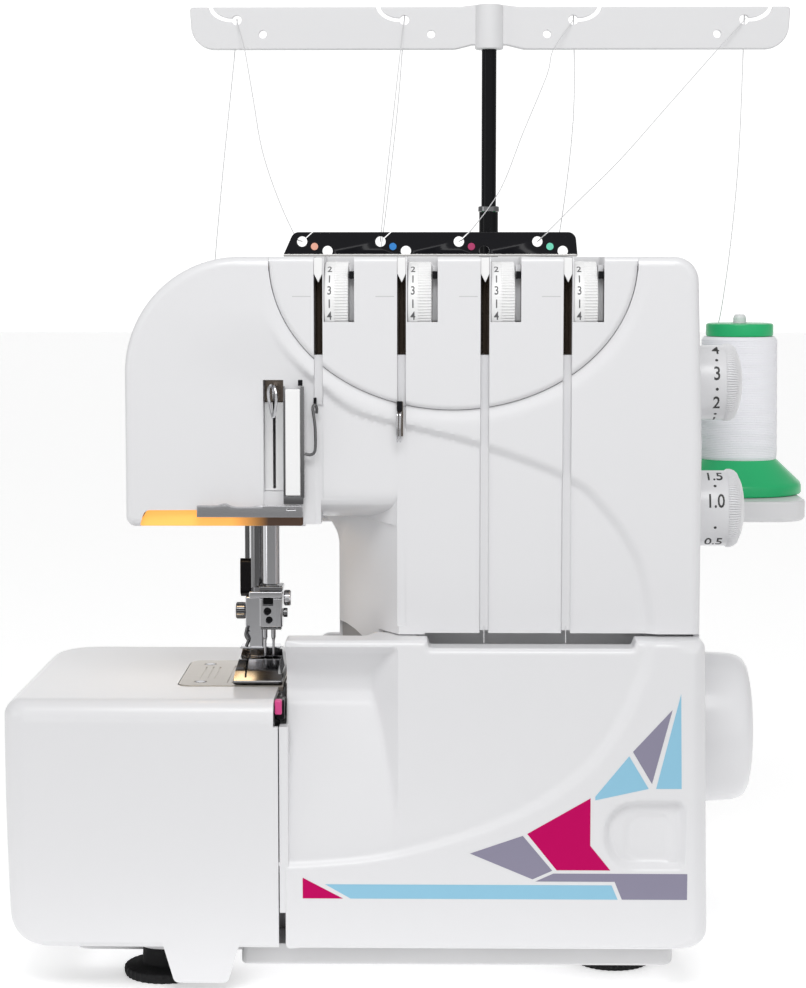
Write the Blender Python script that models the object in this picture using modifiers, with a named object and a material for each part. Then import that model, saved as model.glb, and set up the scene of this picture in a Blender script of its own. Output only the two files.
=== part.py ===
"""A household overlock sewing machine (serger), as an assembly of its separate pieces.

Sizes below are millimetres in the machine's own layout: X runs right from the tension panel's
second channel, Y back from the front panel's face, Z up from the table. CENTRE moves the layout so
that the finished object stands on the origin, and everything in the scene is in metres.
"""

import math

import bmesh
import bpy
from mathutils import Euler, Matrix, Vector

# Driving dimensions, in millimetres.
MM = 0.001
CENTRE = (14.05, 99.0)  # layout X and Y that stand over the origin
WALL = 2.5  # thickness of the moulded shells
GAP = 0.3  # air left between two pieces that touch
FOOT_TOP = 8.0
BASE = (8.3, 17.3)  # base tray, bottom and top
BODY_X = (-113.2, 121.5)  # head's left end, body's right side
BODY_TOP = 300.8
SPLIT_Y = 84.0  # where the front and rear housings meet
BACK_Y = 132.0
HEAD_BOTTOM = 191.1
THROAT_X = -28.0  # column's left wall
BED_TOP = 121.4
BED_STRIP = (-47.4, 112.0)  # left end and underside of the strip right of the knives
COVER_FRONT = -14.0
COVER_BOTTOM = 19.0
COVER_TOP = 146.2
LOOPER_COVER_X = (-47.7, 124.0)
SIDE_COVER_X = (-162.0, -50.5)
SIDE_COVER_TOP = 121.5
SIDE_COVER_BACK = 130.0
HINGE_YZ = (-9.0, 21.5)  # looper cover's rod
CHANNEL_X = (-34.2, -0.5, 33.2, 66.6)
CHANNEL_HALF = 1.8
DIAL_FROM_CHANNEL = 8.75
TENSION_DIAL_YZ = (13.9, 283.0)
TENSION_DIAL_R = 16.0
PANEL_CENTRE = (20.3, 299.0)
PANEL_HALF = (74.4, 60.0)
SHAFT_YZ = (60.0, 97.6)
MOTOR_YZ = (96.0, 50.0)
NEEDLE_BAR = (-56.5, 40.0)
PRESSER_BAR = (-63.0, 52.0)
STAND_Z = (175.0, 188.3)
SPOOL_X = (-80.5, -1.2, 78.4, 158.1)
SPOOL_Y = 178.0
MAST = (37.7, 158.0)
EYELET_X = (-79.6, -1.7, 76.6, 155.7)
GUIDE_HOLE_X = (-67.5, 10.7, 64.5, 143.3)
PLATE_HOLE_X = (-43.6, -10.3, 23.0, 56.3)

THREAD_RADIUS = 0.2

PARTS = None
CUTTERS = None


# ---------------------------------------------------------------- scene and materials


def clear_scene():
    for obj in list(bpy.data.objects):
        bpy.data.objects.remove(obj, do_unlink=True)


def new_collection(name):
    collection = bpy.data.collections.new(name)
    bpy.context.scene.collection.children.link(collection)
    return collection


def material(name, colour, metallic=0.0, roughness=0.4):
    made = bpy.data.materials.get(name)
    if made:
        return made
    made = bpy.data.materials.new(name)
    made.use_nodes = True
    shader = made.node_tree.nodes["Principled BSDF"]
    shader.inputs["Base Color"].default_value = (*colour, 1.0)
    shader.inputs["Metallic"].default_value = metallic
    shader.inputs["Roughness"].default_value = roughness
    return made


def white_plastic():
    return material("white_plastic", (0.80, 0.80, 0.81), roughness=0.32)


def black_plastic():
    return material("black_plastic", (0.015, 0.015, 0.017), roughness=0.25)


def chrome():
    return material("chrome", (0.75, 0.75, 0.76), metallic=1.0, roughness=0.12)


def steel():
    return material("steel", (0.45, 0.45, 0.47), metallic=1.0, roughness=0.3)


def cast_metal():
    return material("cast_metal", (0.35, 0.35, 0.36), metallic=0.8, roughness=0.5)


def rubber():
    return material("rubber", (0.02, 0.02, 0.02), roughness=0.8)


# ---------------------------------------------------------------- shapes


def spot(x, y, z):
    """A layout position as a place in the scene, in metres."""
    return Vector(((x - CENTRE[0]) * MM, (y - CENTRE[1]) * MM, z * MM))


def added(obj):
    PARTS.objects.link(obj)
    return obj


def as_tool(obj):
    """Moves an object to the cutters, where it shapes others and isn't a piece itself."""
    for collection in list(obj.users_collection):
        collection.objects.unlink(obj)
    CUTTERS.objects.link(obj)
    obj.hide_render = True
    obj.display_type = "WIRE"
    return obj


def finished(obj, name, surface, pivot=None):
    """Names the piece, gives it its material and, if it moves, puts its origin on its joint."""
    obj.name = name
    obj.data.name = name
    obj.data.materials.clear()
    obj.data.materials.append(surface)
    if obj.type == "MESH":
        obj.data.shade_smooth()
        obj.data.set_sharp_from_angle(angle=math.radians(35))
    if pivot is not None:
        place = spot(*pivot)
        obj.data.transform(Matrix.Translation(obj.location - place))
        obj.location = place
    return obj


def box(low, high, name="box"):
    shape = bmesh.new()
    bmesh.ops.create_cube(shape, size=1.0)
    size = Vector([(b - a) * MM for a, b in zip(low, high)])
    middle = spot(*[(a + b) / 2 for a, b in zip(low, high)])
    bmesh.ops.scale(shape, vec=size, verts=shape.verts)
    bmesh.ops.translate(shape, vec=middle, verts=shape.verts)
    mesh = bpy.data.meshes.new(name)
    shape.to_mesh(mesh)
    shape.free()
    return added(bpy.data.objects.new(name, mesh))


def meshed(curve_object, whole_caps=True):
    """The curve's own surface as a mesh object, its caps welded on and each made one face."""
    bpy.context.view_layer.update()
    graph = bpy.context.evaluated_depsgraph_get()
    mesh = bpy.data.meshes.new_from_object(curve_object.evaluated_get(graph))
    mesh.transform(curve_object.matrix_world)
    shape = bmesh.new()
    shape.from_mesh(mesh)
    bmesh.ops.remove_doubles(shape, verts=shape.verts, dist=1e-6)
    if whole_caps:
        bmesh.ops.dissolve_limit(
            shape, angle_limit=1e-3, verts=shape.verts, edges=shape.edges, use_dissolve_boundaries=False
        )
    bmesh.ops.recalc_face_normals(shape, faces=shape.faces)
    shape.to_mesh(mesh)
    shape.free()
    made = added(bpy.data.objects.new(curve_object.name, mesh))
    bpy.data.objects.remove(curve_object, do_unlink=True)
    return made


def slab(outlines, axis, low, high, name="slab"):
    """A flat outline, given thickness along an axis: X takes (y, z) points, Y (x, z), Z (x, y).

    A second outline is a hole through the first.
    """
    curve = bpy.data.curves.new(name, "CURVE")
    curve.dimensions = "2D"
    curve.fill_mode = "BOTH"
    curve.extrude = (high - low) / 2 * MM
    zero = spot(0, 0, 0)
    shift = {"X": (zero.y, 0), "Y": (zero.x, 0), "Z": (zero.x, zero.y)}[axis]
    for points in outlines:
        spline = curve.splines.new("POLY")
        spline.points.add(len(points) - 1)
        for target, (u, v) in zip(spline.points, points):
            target.co = (u * MM + shift[0], v * MM + shift[1], 0, 1)
        spline.use_cyclic_u = True
    obj = added(bpy.data.objects.new(name, curve))
    turn = {"X": (90, 0, 90), "Y": (90, 0, 0), "Z": (0, 0, 0)}[axis]
    obj.rotation_euler = Euler([math.radians(a) for a in turn])
    along = (low + high) / 2
    middle = {"X": (along, None, None), "Y": (None, along, None), "Z": (None, None, along)}[axis]
    full = spot(*[v if v is not None else 0 for v in middle])
    obj.location = [full[i] if middle[i] is not None else 0 for i in range(3)]
    return meshed(obj, whole_caps=len(outlines) == 1)


def filleted(corners, steps=5):
    """Points of a polygon with rounded corners; each corner is (u, v) or (u, v, radius)."""
    points = []
    for i, corner in enumerate(corners):
        here = Vector(corner[:2])
        radius = corner[2] if len(corner) > 2 else 0
        if not radius:
            points.append(tuple(here))
            continue
        before = (Vector(corners[i - 1][:2]) - here).normalized()
        after = (Vector(corners[(i + 1) % len(corners)][:2]) - here).normalized()
        half = before.angle(after) / 2
        centre = here + (before + after).normalized() * radius / math.sin(half)
        start = here + before * radius / math.tan(half) - centre
        sweep = (math.pi - 2 * half) * (-1 if before.cross(after) > 0 else 1)
        for k in range(steps + 1):
            arm = start.copy()
            arm.rotate(Matrix.Rotation(sweep * k / steps, 2))
            points.append(tuple(centre + arm))
    return points


def turned(profile, axis, centre, steps=32, name="turned"):
    """A profile of (radius, along) points, from the far end down the outside, spun about an axis."""
    mesh = bpy.data.meshes.new(name)
    verts = [(r * MM, 0, h * MM) for r, h in profile]
    closed = profile[0][0] > 0
    edges = [(i, i + 1) for i in range(len(verts) - 1)]
    mesh.from_pydata(verts, edges + [(len(verts) - 1, 0)] * closed, [])
    obj = added(bpy.data.objects.new(name, mesh))
    screw = obj.modifiers.new("Spin", "SCREW")
    screw.axis = "Z"
    screw.steps = screw.render_steps = steps
    screw.use_merge_vertices = True
    screw.merge_threshold = 1e-6
    screw.use_smooth_shade = True
    if axis == "X":
        obj.rotation_euler = (0, math.radians(90), 0)
        obj.location = spot(0, *centre)
    else:
        obj.location = spot(*centre, 0)
    return obj


def rod(radius, axis, centre, low, high, steps=16, name="rod"):
    return turned([(0, high), (radius, high), (radius, low), (0, low)], axis, centre, steps, name)


def wire(points, radius, name="wire"):
    """A round wire through layout points."""
    curve = bpy.data.curves.new(name, "CURVE")
    curve.dimensions = "3D"
    curve.bevel_depth = radius * MM
    curve.bevel_resolution = 1
    curve.use_fill_caps = True
    spline = curve.splines.new("POLY")
    spline.points.add(len(points) - 1)
    for target, point in zip(spline.points, points):
        target.co = (*spot(*point), 1)
    return added(bpy.data.objects.new(name, curve))


def boolean(obj, tool, operation):
    modifier = obj.modifiers.new(operation.title(), "BOOLEAN")
    modifier.operation = operation
    modifier.solver = "EXACT"
    modifier.object = as_tool(tool)
    return obj


def cut(obj, *tools):
    for tool in tools:
        boolean(obj, tool, "DIFFERENCE")
    return obj


def fused(obj, *tools):
    for tool in tools:
        boolean(obj, tool, "UNION")
    return obj


def rounded(obj, width, segments=2, only=None):
    """Bevels the sharp edges, or only the edges whose two ends pass a test on their places."""
    bevel = obj.modifiers.new("Round", "BEVEL")
    bevel.width = width * MM
    bevel.segments = segments
    if only is None:
        bevel.limit_method = "ANGLE"
        bevel.angle_limit = math.radians(40)
        return obj
    bevel.limit_method = "WEIGHT"
    bevel.use_clamp_overlap = False
    weights = obj.data.attributes.new("bevel_weight_edge", "FLOAT", "EDGE")
    for edge in obj.data.edges:
        ends = [obj.data.vertices[i].co for i in edge.vertices]
        weights.data[edge.index].value = float(only(*ends))
    return obj


def along_y(value):
    """A test for edges that lie wholly at one layout Y."""
    level = spot(0, value, 0).y
    return lambda a, b: abs(a.y - level) < 1e-6 and abs(b.y - level) < 1e-6


def along_top(value, right):
    """A test for edges that lie wholly at one height, except those at the right-hand end."""
    level, edge = value * MM, spot(right, 0, 0).x - 1e-6
    return lambda a, b: min(a.z, b.z) > level - 1e-6 and min(a.x, b.x) < edge


# ---------------------------------------------------------------- housings


def head_curve(inset, steps=9):
    """The head's large top left corner, from the left side to the top."""
    middle_x, middle_z = -66.4, 253.5
    half_x = middle_x - BODY_X[0] - inset
    half_z = BODY_TOP - middle_z - inset
    points = []
    for k in range(steps + 1):
        turn = math.pi / 2 * k / steps
        across, up = half_x * math.cos(turn), half_z * math.sin(turn)
        points.append((middle_x - across, middle_z + up))
    return points


def body_outline(bottom, left_floor, inset=0.0):
    """The C-shaped front view of the body, from its lower left corner round to the throat."""
    right = BODY_X[1] - inset
    corners = [
        *left_floor,
        (right, bottom),
        (right, BODY_TOP - inset, 10 - inset),
        *reversed(head_curve(inset)),
        (BODY_X[0] + inset, HEAD_BOTTOM + inset, 6 - inset),
        (THROAT_X + inset, HEAD_BOTTOM + inset, 13 - inset),
    ]
    return filleted(corners)


def half_ellipse(centre, half, grow=0.0, steps=20, top=None):
    points = []
    for k in range(steps + 1):
        turn = math.pi + math.pi * k / steps
        across = centre[0] + (half[0] + grow) * math.cos(turn)
        points.append((across, centre[1] + (half[1] + grow) * math.sin(turn)))
    if top is not None:
        points += [(centre[0] + half[0] + grow, top), (centre[0] - half[0] - grow, top)]
    return points


def column_corner(grow, low, high):
    """The wedge cut from the column's front left corner, so that it slants back to the throat."""
    points = [(0.9 + grow, -5), (THROAT_X - 12, -5), (THROAT_X - 12, 74 + 2 * grow)]
    return slab([points], "Z", low, high, "column_corner")


def panel_opening(grow):
    """The place of the tension panel in the front housing's face and top."""
    face = slab([half_ellipse(PANEL_CENTRE, PANEL_HALF, grow, top=306)], "Y", -4, 17, "panel_face")
    left, right = (PANEL_CENTRE[0] + s * (PANEL_HALF[0] + grow) for s in (-1, 1))
    top = box((left, -4, 295.5 - grow), (right, 33 + grow, 306), "panel_top")
    return face, top


def front_housing():
    floor = [(THROAT_X, BED_TOP, 3), (BED_STRIP[0], BED_TOP), BED_STRIP]
    outer = slab([body_outline(BED_STRIP[1], floor)], "Y", 0, SPLIT_Y, "front_outer")
    rounded(outer, 3.0, 2, along_y(0))
    inner_floor = [(THROAT_X + WALL, 100)]
    cavity = slab([body_outline(100, inner_floor, WALL)], "Y", WALL, SPLIT_Y + 3, "front_cavity")
    cut(
        cavity,
        box((-60, -5, 90), (125, 19.3, 149.8)),
        column_corner(3.0, 95, 194.5),
        *[
            box((x - 3.3, -5, 140), (x + 3.3, 13.5, top))
            for x, top in ((CHANNEL_X[2], 238.8), (CHANNEL_X[3], 249.8))
        ],
    )
    cut(
        outer,
        box((-60, -5, 100), (125, 16.8, 147.3)),
        column_corner(0, 100, 192),
        *panel_opening(0.3),
        *[
            box((x - CHANNEL_HALF, -5, 140), (x + CHANNEL_HALF, 12, 297))
            for x in CHANNEL_X[2:]
        ],
        cavity,
        box((-57, -5, 194.5), (-48.4, 5, 251)),  # take-up lever's slot
        box((-100, 20, 185), (-46, 78, 200)),  # way down for the needle and presser bars
        box((-106.8, -5, 185), (-40.7, 4, 198)),  # lamp notch
        box((-50, 24, 100), (-45.6, 60, 125)),  # way for the upper knife
        *[rod(4.6, "X", (60, z), 100, 130, 16) for z in (247.2, 193.0)],
    )
    return finished(outer, "front_housing", white_plastic())


def rear_housing():
    y_low = SPLIT_Y + GAP
    floor = [(THROAT_X, BED_TOP, 3), (BED_STRIP[0], BED_TOP), (BED_STRIP[0], COVER_BOTTOM)]
    outer = slab([body_outline(COVER_BOTTOM, floor)], "Y", y_low, BACK_Y, "rear_outer")
    rounded(outer, 5.0, 2, along_y(BACK_Y))
    inner = [
        (THROAT_X + WALL, BED_TOP - WALL),
        (BED_STRIP[0] + WALL, BED_TOP - WALL),
        (BED_STRIP[0] + WALL, 10),
    ]
    cavity = slab([body_outline(10, inner, WALL)], "Y", y_low - 3, BACK_Y - WALL, "rear_cavity")
    side = [
        (2.6, COVER_BOTTOM),
        (y_low + 1, COVER_BOTTOM),
        (y_low + 1, 111.7),
        (16.5, 111.7),
        (16.5, 146.9),
        (2.6, 146.9),
    ]
    cut(outer, cavity)
    fused(
        outer,
        slab([side], "X", BODY_X[1] - WALL, BODY_X[1], "right_side"),
        slab([filleted([(-41, 100), (-22, 100), (-22, 127.3, 6), (-41, 127.3, 6)])], "Y", 124, 131),
    )
    cut(
        outer,
        rod(9.8, "X", SHAFT_YZ, 110, 130, 20),
        box((115, 108, 35), (125, 126.8, 55)),  # inlet socket
        box((115, 101.5, 64.5), (125, 116.5, 85.5)),  # power switch
    )
    return finished(outer, "rear_housing", white_plastic())


def tension_panel():
    """The half-round panel with its thread channels and the windows of the four dials."""
    block = slab([half_ellipse(PANEL_CENTRE, PANEL_HALF)], "Y", -1, 15.2, "panel")
    half = PANEL_HALF[0] - 0.1
    top = box((PANEL_CENTRE[0] - half, -1, 296), (PANEL_CENTRE[0] + half, 33, BODY_TOP))
    fused(block, top)
    wall = 2.95
    starts = [-60] + [x + wall for x in CHANNEL_X]
    ends = [x - wall for x in CHANNEL_X] + [100]
    cut(
        block,
        *[box((a, 2, 200), (b, 20, 296)) for a, b in zip(starts, ends)],
        *[box((x + wall, -5, 275), (x + 14.55, 31.5, 305)) for x in CHANNEL_X],
        *[
            rod(TENSION_DIAL_R + 0.5, "X", TENSION_DIAL_YZ, x + wall, x + 14.55, 32)
            for x in CHANNEL_X
        ],
        *[box((x - CHANNEL_HALF, -5, 200), (x + CHANNEL_HALF, 13.4, 305)) for x in CHANNEL_X],
    )
    return finished(block, "tension_panel", white_plastic())


def looper_cover_plan(inset):
    left, right = LOOPER_COVER_X[0] + inset, LOOPER_COVER_X[1] - inset
    front, back = COVER_FRONT + inset, 2 + (40 if inset else 0)
    if inset:
        return filleted([(left, front, 2), (right, front, 4.5), (right, back), (left, back)], 3)
    return filleted(
        [(left, front, 2), (right, front, 7), (right, back), (-6, back), (-9, 16), (left, 16)], 3
    )


def scoop(grow):
    """The slanting hollow at the cover's upper left, beside the needles."""
    points = [(-16, 66), (-20, 60), (-20, 139.5 + grow), (-9, 136 + grow), (-1 + grow, 128)]
    points += [(-1 + grow, 118 - grow), (-14, 70 - grow)]
    return slab([points], "X", -45 - grow, -6 + 2 * grow, "scoop")


def looper_cover():
    """The hinged front cover: a shell with a top ledge, two end walls and two hinge knuckles."""
    outer = slab([looper_cover_plan(0)], "Z", COVER_BOTTOM, COVER_TOP, "looper_outer")
    cavity = slab([looper_cover_plan(WALL)], "Z", 10, COVER_TOP - WALL, "looper_cavity")
    cut(cavity, scoop(WALL))
    cut(outer, scoop(0), cavity, box((10.4, -20, 142.9), (94.0, -11, 150)))
    fused(outer, box((-50.1, -12.4, 34), (-46.5, -6, 111)))  # flange over the gap to the side cover
    for x in (0, 90):
        knuckle = rod(2.3, "X", HINGE_YZ, x, x + 4, 16)
        fused(outer, knuckle, box((x, -12, 20.3), (x + 4, -9, 22.7)))
    cut(outer, rod(1.3, "X", HINGE_YZ, -5, 110, 12))
    thumb = filleted([(81.5, 52.2, 12), (115.6, 52.2, 4), (115.6, 81.6, 4), (81.5, 81.6, 12)], 4)
    cut(outer, slab([thumb], "Y", -20, -12.6, "thumb_recess"))
    return finished(outer, "looper_cover", white_plastic(), (0, *HINGE_YZ))


def cover_hinge_rod():
    """The looper cover turns on this rod, and slides sideways with it to come off its catch."""
    return finished(rod(1.0, "X", HINGE_YZ, -4, 112, 12), "cover_hinge_rod", steel())


def side_cover():
    """The free-arm cover: a box shell open to the right and below, with a tongue at its front."""
    left, right = SIDE_COVER_X
    outline = [
        (left, COVER_FRONT, 7),
        (right, COVER_FRONT),
        (right, SIDE_COVER_BACK),
        (left, SIDE_COVER_BACK, 22),
    ]
    outer = slab([filleted(outline, 4)], "Z", COVER_BOTTOM, SIDE_COVER_TOP, "side_outer")
    rounded(outer, 6.0, 3, along_top(SIDE_COVER_TOP, right))
    inner = [
        (left + WALL, COVER_FRONT + WALL, 4.5),
        (right + 5, COVER_FRONT + WALL),
        (right + 5, SIDE_COVER_BACK - WALL),
        (left + WALL, SIDE_COVER_BACK - WALL, 19.5),
    ]
    cavity = slab([filleted(inner, 4)], "Z", 10, SIDE_COVER_TOP - WALL, "side_cavity")
    rounded(cavity, 4.0, 2, along_top(SIDE_COVER_TOP - WALL, right + 5))
    tongue = filleted([(-99.4, 25), (-93.4, 4.5, 2), (-71.6, 4.5, 2), (-65.3, 25)], 3)
    plate = [(-95.4, 20.6, 6), (-40, 20.6), (-40, 84.4), (-95.4, 84.4, 6)]
    cut(outer, cavity)
    fused(outer, slab([tongue], "Y", COVER_FRONT, COVER_FRONT + WALL - 0.2, "tongue"))
    cut(
        outer,
        slab([filleted(plate, 4)], "Z", 110, 130, "plate_notch"),
        box((-52.2, -20, 111), (-40, 20.7, 130)),  # way for the stitch finger lever
    )
    return finished(outer, "side_cover", white_plastic(), (right, COVER_FRONT, COVER_BOTTOM))


def base_tray():
    low, high = BASE
    outline = [(-140, 20, 8), (-67, 20), (-67, 0, 3), (112, 0, 6), (112, 129, 6), (-140, 126, 8)]
    tray = slab([filleted(outline, 3)], "Z", low, high, "base")
    fused(tray, rod(12, "Z", (-100, 16), low, high, 20))
    for x in (20, 74):
        post = box((x, 1, low + 1), (x + 4, 6, 22.7))
        neck = box((x, -9, 20.3), (x + 4, 5, 22.7))
        fused(tray, post, neck, rod(2.3, "X", HINGE_YZ, x, x + 4, 16))
    cut(tray, rod(1.3, "X", HINGE_YZ, 10, 90, 12))
    return finished(tray, "base_tray", white_plastic())


def feet():
    """Four rubber feet; the front left one carries the overhung end, so it is wider."""
    places = {
        "foot_front_left": (-100, 16, 17.5),
        "foot_front_right": (89.5, 36, 16),
        "foot_rear_left": (-100, 108, 15),
        "foot_rear_right": (89.5, 112, 15),
    }
    for name, (x, y, radius) in places.items():
        profile = [
            (0, FOOT_TOP),
            (radius * 0.55, FOOT_TOP),
            (radius * 0.6, 4.6),
            (radius - 1, 4.2),
            (radius, 3),
            (radius - 0.6, 0),
            (0, 0),
        ]
        finished(turned(profile, "Z", (x, y), 20), name, rubber())


# ---------------------------------------------------------------- frame and drive


def frame_casting():
    """The cast frame: floor, two uprights, the upper arm and the brackets of both bars."""
    floor = box((-91, 22, 18), (-36.5, 82, 26))
    bar_brackets = [box((-72, 33, z), (-48, 66, z + 6)) for z in (199, 262)]
    fused(
        floor,
        box((-37, 22, 18), (112, 120, 26)),
        box((-36, 22, 25), (-30, 110, 110)),
        box((60, 30, 25), (66, 112, 285)),
        box((-100, 64, 215), (61, 80, 236)),
        box((-75, 64, 199), (-45, 70, 268)),
        *bar_brackets,
        box((-91, 24, 25), (-87, 82, 119.2)),
        box((-91, 78, 113), (-52, 82, 119.2)),
        box((-51.6, 17.2, 104), (-30.5, 24, 111.6)),
        box((-48.4, 28, 60), (-35, 43.6, 88)),
    )
    cut(
        floor,
        rod(4.4, "X", SHAFT_YZ, -50, 80),
        rod(3.8, "Z", NEEDLE_BAR, 190, 275),
        rod(3.5, "Z", PRESSER_BAR, 190, 275),
    )
    return finished(floor, "frame_casting", cast_metal())


def main_shaft():
    return finished(rod(4.0, "X", SHAFT_YZ, -40, 133.6), "main_shaft", steel())


def handwheel():
    """The handwheel, its neck through the side wall and the belt pulley at its inner end."""
    profile = [
        (0, 149.8),
        (16, 149.5),
        (25, 148.2),
        (30, 145.4),
        (32.2, 140.5),
        (32.4, 135),
        (32.4, 125),
        (31, 123),
        (9, 123),
        (9, 116.5),
        (24, 116.5),
        (24, 114),
        (21, 112.5),
        (21, 109.5),
        (24, 108),
        (24, 105.5),
        (4.3, 105.5),
        (4.3, 134),
        (0, 134),
    ]
    return finished(turned(profile, "X", SHAFT_YZ, 48), "handwheel", white_plastic())


def motor_pulley():
    profile = [(0, 116.5), (11, 116.5), (11, 114), (8, 112.6), (8, 109.4), (11, 108)]
    profile += [(11, 105.5), (3, 105.5), (3, 100.4), (0, 100.4)]
    return finished(turned(profile, "X", MOTOR_YZ, 24), "motor_pulley", steel())


def drive_motor():
    profile = [(0, 100), (8, 100), (8, 98), (20, 97), (22, 95), (22, 71), (20, 68), (0, 68)]
    return finished(turned(profile, "X", MOTOR_YZ, 24), "drive_motor", cast_metal())


def belt_loop(big, small, steps=16):
    """The outline of a belt round two pulleys, as points of both arcs joined by straight runs."""
    apart = Vector(MOTOR_YZ) - Vector(SHAFT_YZ)
    heading = math.atan2(apart.y, apart.x)
    lean = math.acos((big - small) / apart.length)
    points = []
    for centre, radius, first, last in (
        (SHAFT_YZ, big, heading + lean, heading + 2 * math.pi - lean),
        (MOTOR_YZ, small, heading - lean, heading + lean),
    ):
        for k in range(steps + 1):
            turn = first + (last - first) * k / steps
            points.append((centre[0] + radius * math.cos(turn), centre[1] + radius * math.sin(turn)))
    return points


def drive_belt():
    belt = slab([belt_loop(23.0, 10.0), belt_loop(21.4, 8.4)], "X", 109.9, 112.1, "belt")
    return finished(belt, "drive_belt", rubber())


# ---------------------------------------------------------------- stitching parts


def needle_plate():
    plate = [(-95, 21, 5.6), (-50.6, 21), (-50.6, 84), (-95, 84, 5.6)]
    obj = slab([filleted(plate, 4)], "Z", 119.6, 121.9, "needle_plate")
    cut(obj, box((-72.4, 27, 110), (-62.6, 69, 130)), box((-61, 38.4, 110), (-53.5, 41.6, 130)))
    return finished(obj, "needle_plate", steel())


def knives():
    lower = box((-50.2, 30, 70), (-48.7, 42, 121.6))
    finished(lower, "lower_knife", steel())
    outline = [(30, 123.4), (44, 122.4), (44, 90), (52, 90), (52, 130), (30, 130)]
    upper = slab([outline], "X", -48.4, -46.9, "upper_knife")
    finished(upper, "upper_knife", steel(), (-47.6, 48, 110))


def feed_dog():
    bar = box((-71.6, 31, 114), (-63.4, 65, 119.6))
    teeth = [(31, 119.5)]
    for k in range(17):
        teeth += [(31 + 2 * k, 121.4), (32.8 + 2 * k, 120.2)]
    teeth.append((65, 119.5))
    fused(bar, slab([teeth], "X", -71.6, -63.4, "teeth"))
    return finished(bar, "feed_dog", steel(), (-67.5, 48, 117))


def loopers():
    upper = [(71, 56), (79, 56), (79, 64), (60, 100), (46, 114), (40, 113), (44, 106), (54, 94)]
    upper += [(71, 64)]
    finished(slab([upper], "X", -56, -53), "upper_looper", chrome(), (-54.5, 75, 60))
    lower = [(41, 41), (49, 41), (49, 49), (60, 80), (58, 104), (50, 110), (47, 106), (54, 98)]
    lower += [(54, 82), (41, 49)]
    finished(slab([lower], "X", -66, -63), "lower_looper", chrome(), (-64.5, 45, 45))


def stitch_finger_lever():
    outline = [(-9, 112.2), (12, 112.2), (12, 119), (-3, 121.2), (-9, 121.2)]
    lever = slab([outline], "X", -51.6, -48.1, "finger_lever")
    return finished(lever, "stitch_finger_lever", black_plastic(), (-49.8, 0, 117))


def needle_parts():
    x, y = NEEDLE_BAR
    finished(rod(3.5, "Z", NEEDLE_BAR, 162.3, 272), "needle_bar", chrome())
    clamp = box((-61.2, 34, 143.4), (-51.6, 46, 157.3))
    fused(
        clamp,
        box((-65.6, 33, 157.2), (-51.4, 47, 159.9)),
        box((-61.5, 34, 159.7), (-51.4, 46, 162)),
    )
    finished(clamp, "needle_clamp", chrome(), (x, y, 162))
    screw = rod(3.4, "X", (40, 156.4), -51.1, -48.2, 12)
    finished(screw, "needle_clamp_screw", steel())
    for name, across in (("needle_left", -59.3), ("needle_right", -55.8)):
        profile = [(0, 143.1), (1.0, 143.1), (1.0, 139.5), (0.55, 138), (0.5, 131.5), (0, 129.6)]
        finished(turned(profile, "Z", (across, y), 10), name, chrome())


def presser_parts():
    finished(rod(3.2, "Z", PRESSER_BAR, 156.0, 275), "presser_bar", chrome())
    shank = box((-68.4, 47.8, 133.5), (-60.6, 56.5, 155.7))
    fused(shank, rod(3.6, "X", (51.5, 149.2), -72.6, -68.2, 14))
    finished(shank, "presser_foot_shank", chrome())
    side = [(18, 123.6), (20, 122.4), (58, 122.4), (60, 125), (57, 131), (56, 133.2), (47, 133.2)]
    side += [(44, 130.5), (33, 131.2), (24, 128)]
    foot = slab([side], "X", -71.4, -50.9, "presser_foot")
    cut(foot, box((-61.2, 37, 115), (-53.6, 43, 140)))
    finished(foot, "presser_foot", chrome())


def presser_lifter():
    outline = [(58.5, 156.5), (63, 153.5), (66, 156), (68, 175), (66, 196), (58.5, 196)]
    lever = slab([outline], "X", -71.4, -66.8, "lifter")
    return finished(lever, "presser_lifter", black_plastic(), (-69, 62, 192))


def take_up_lever():
    outline = [(27, 227), (33, 227), (33, 236), (8, 249.5), (-2, 249.5), (-2, 242), (1, 242)]
    outline += [(1, 246), (8, 245.5), (27, 233)]
    lever = slab([outline], "X", -55, -51, "take_up")
    return finished(lever, "take_up_lever", chrome(), (-53, 30, 231))


def front_fittings():
    """The small thread guides and covers fixed to the face of the head."""
    cover = box((-48.2, -1.7, 203.6), (-41.8, -GAP, 247.9))
    finished(cover, "take_up_cover", white_plastic())
    guide = box((-83.9, -1.6, 195.2), (-40.7, -GAP, 200.2))
    finished(guide, "head_thread_guide", chrome())
    left = [(-39.8, -1.2, 221.0), (-36.8, -1.4, 220.6), (-35.6, -1.6, 222.4), (-35.4, -1.6, 236)]
    left += [(-36.6, -1.4, 239.2), (-36.4, -1.2, 241.6)]
    finished(wire(left, 0.7), "thread_hook_left", chrome())
    right = [(-3.6, -1.3, 226.6), (-3.5, -3.2, 230), (-3.5, -3.2, 236), (-3.6, -1.3, 238.4)]
    finished(wire(right, 0.7), "thread_hook_right", chrome())


def lamp_bulb():
    profile = [(0, -76), (2.4, -76), (2.6, -80), (4, -82), (4.2, -90), (3, -94.5), (0, -96)]
    return finished(turned(profile, "X", (27, 202), 14), "lamp_bulb", material("lamp", (1, 0.6, 0.25)))


# ---------------------------------------------------------------- dials and switches


def tension_dials():
    y, z = TENSION_DIAL_YZ
    radius = TENSION_DIAL_R
    for number, channel in enumerate(CHANNEL_X, 1):
        x = channel + DIAL_FROM_CHANNEL
        profile = [
            (2.5, x + 5.3),
            (radius - 1.5, x + 5.3),
            (radius, x + 4.6),
            (radius, x - 4.6),
            (radius - 1, x - 5.3),
            (2.5, x - 5.3),
        ]
        dial = turned(profile, "X", (y, z), 32)
        finished(dial, f"tension_dial_{number}", white_plastic())


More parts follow.
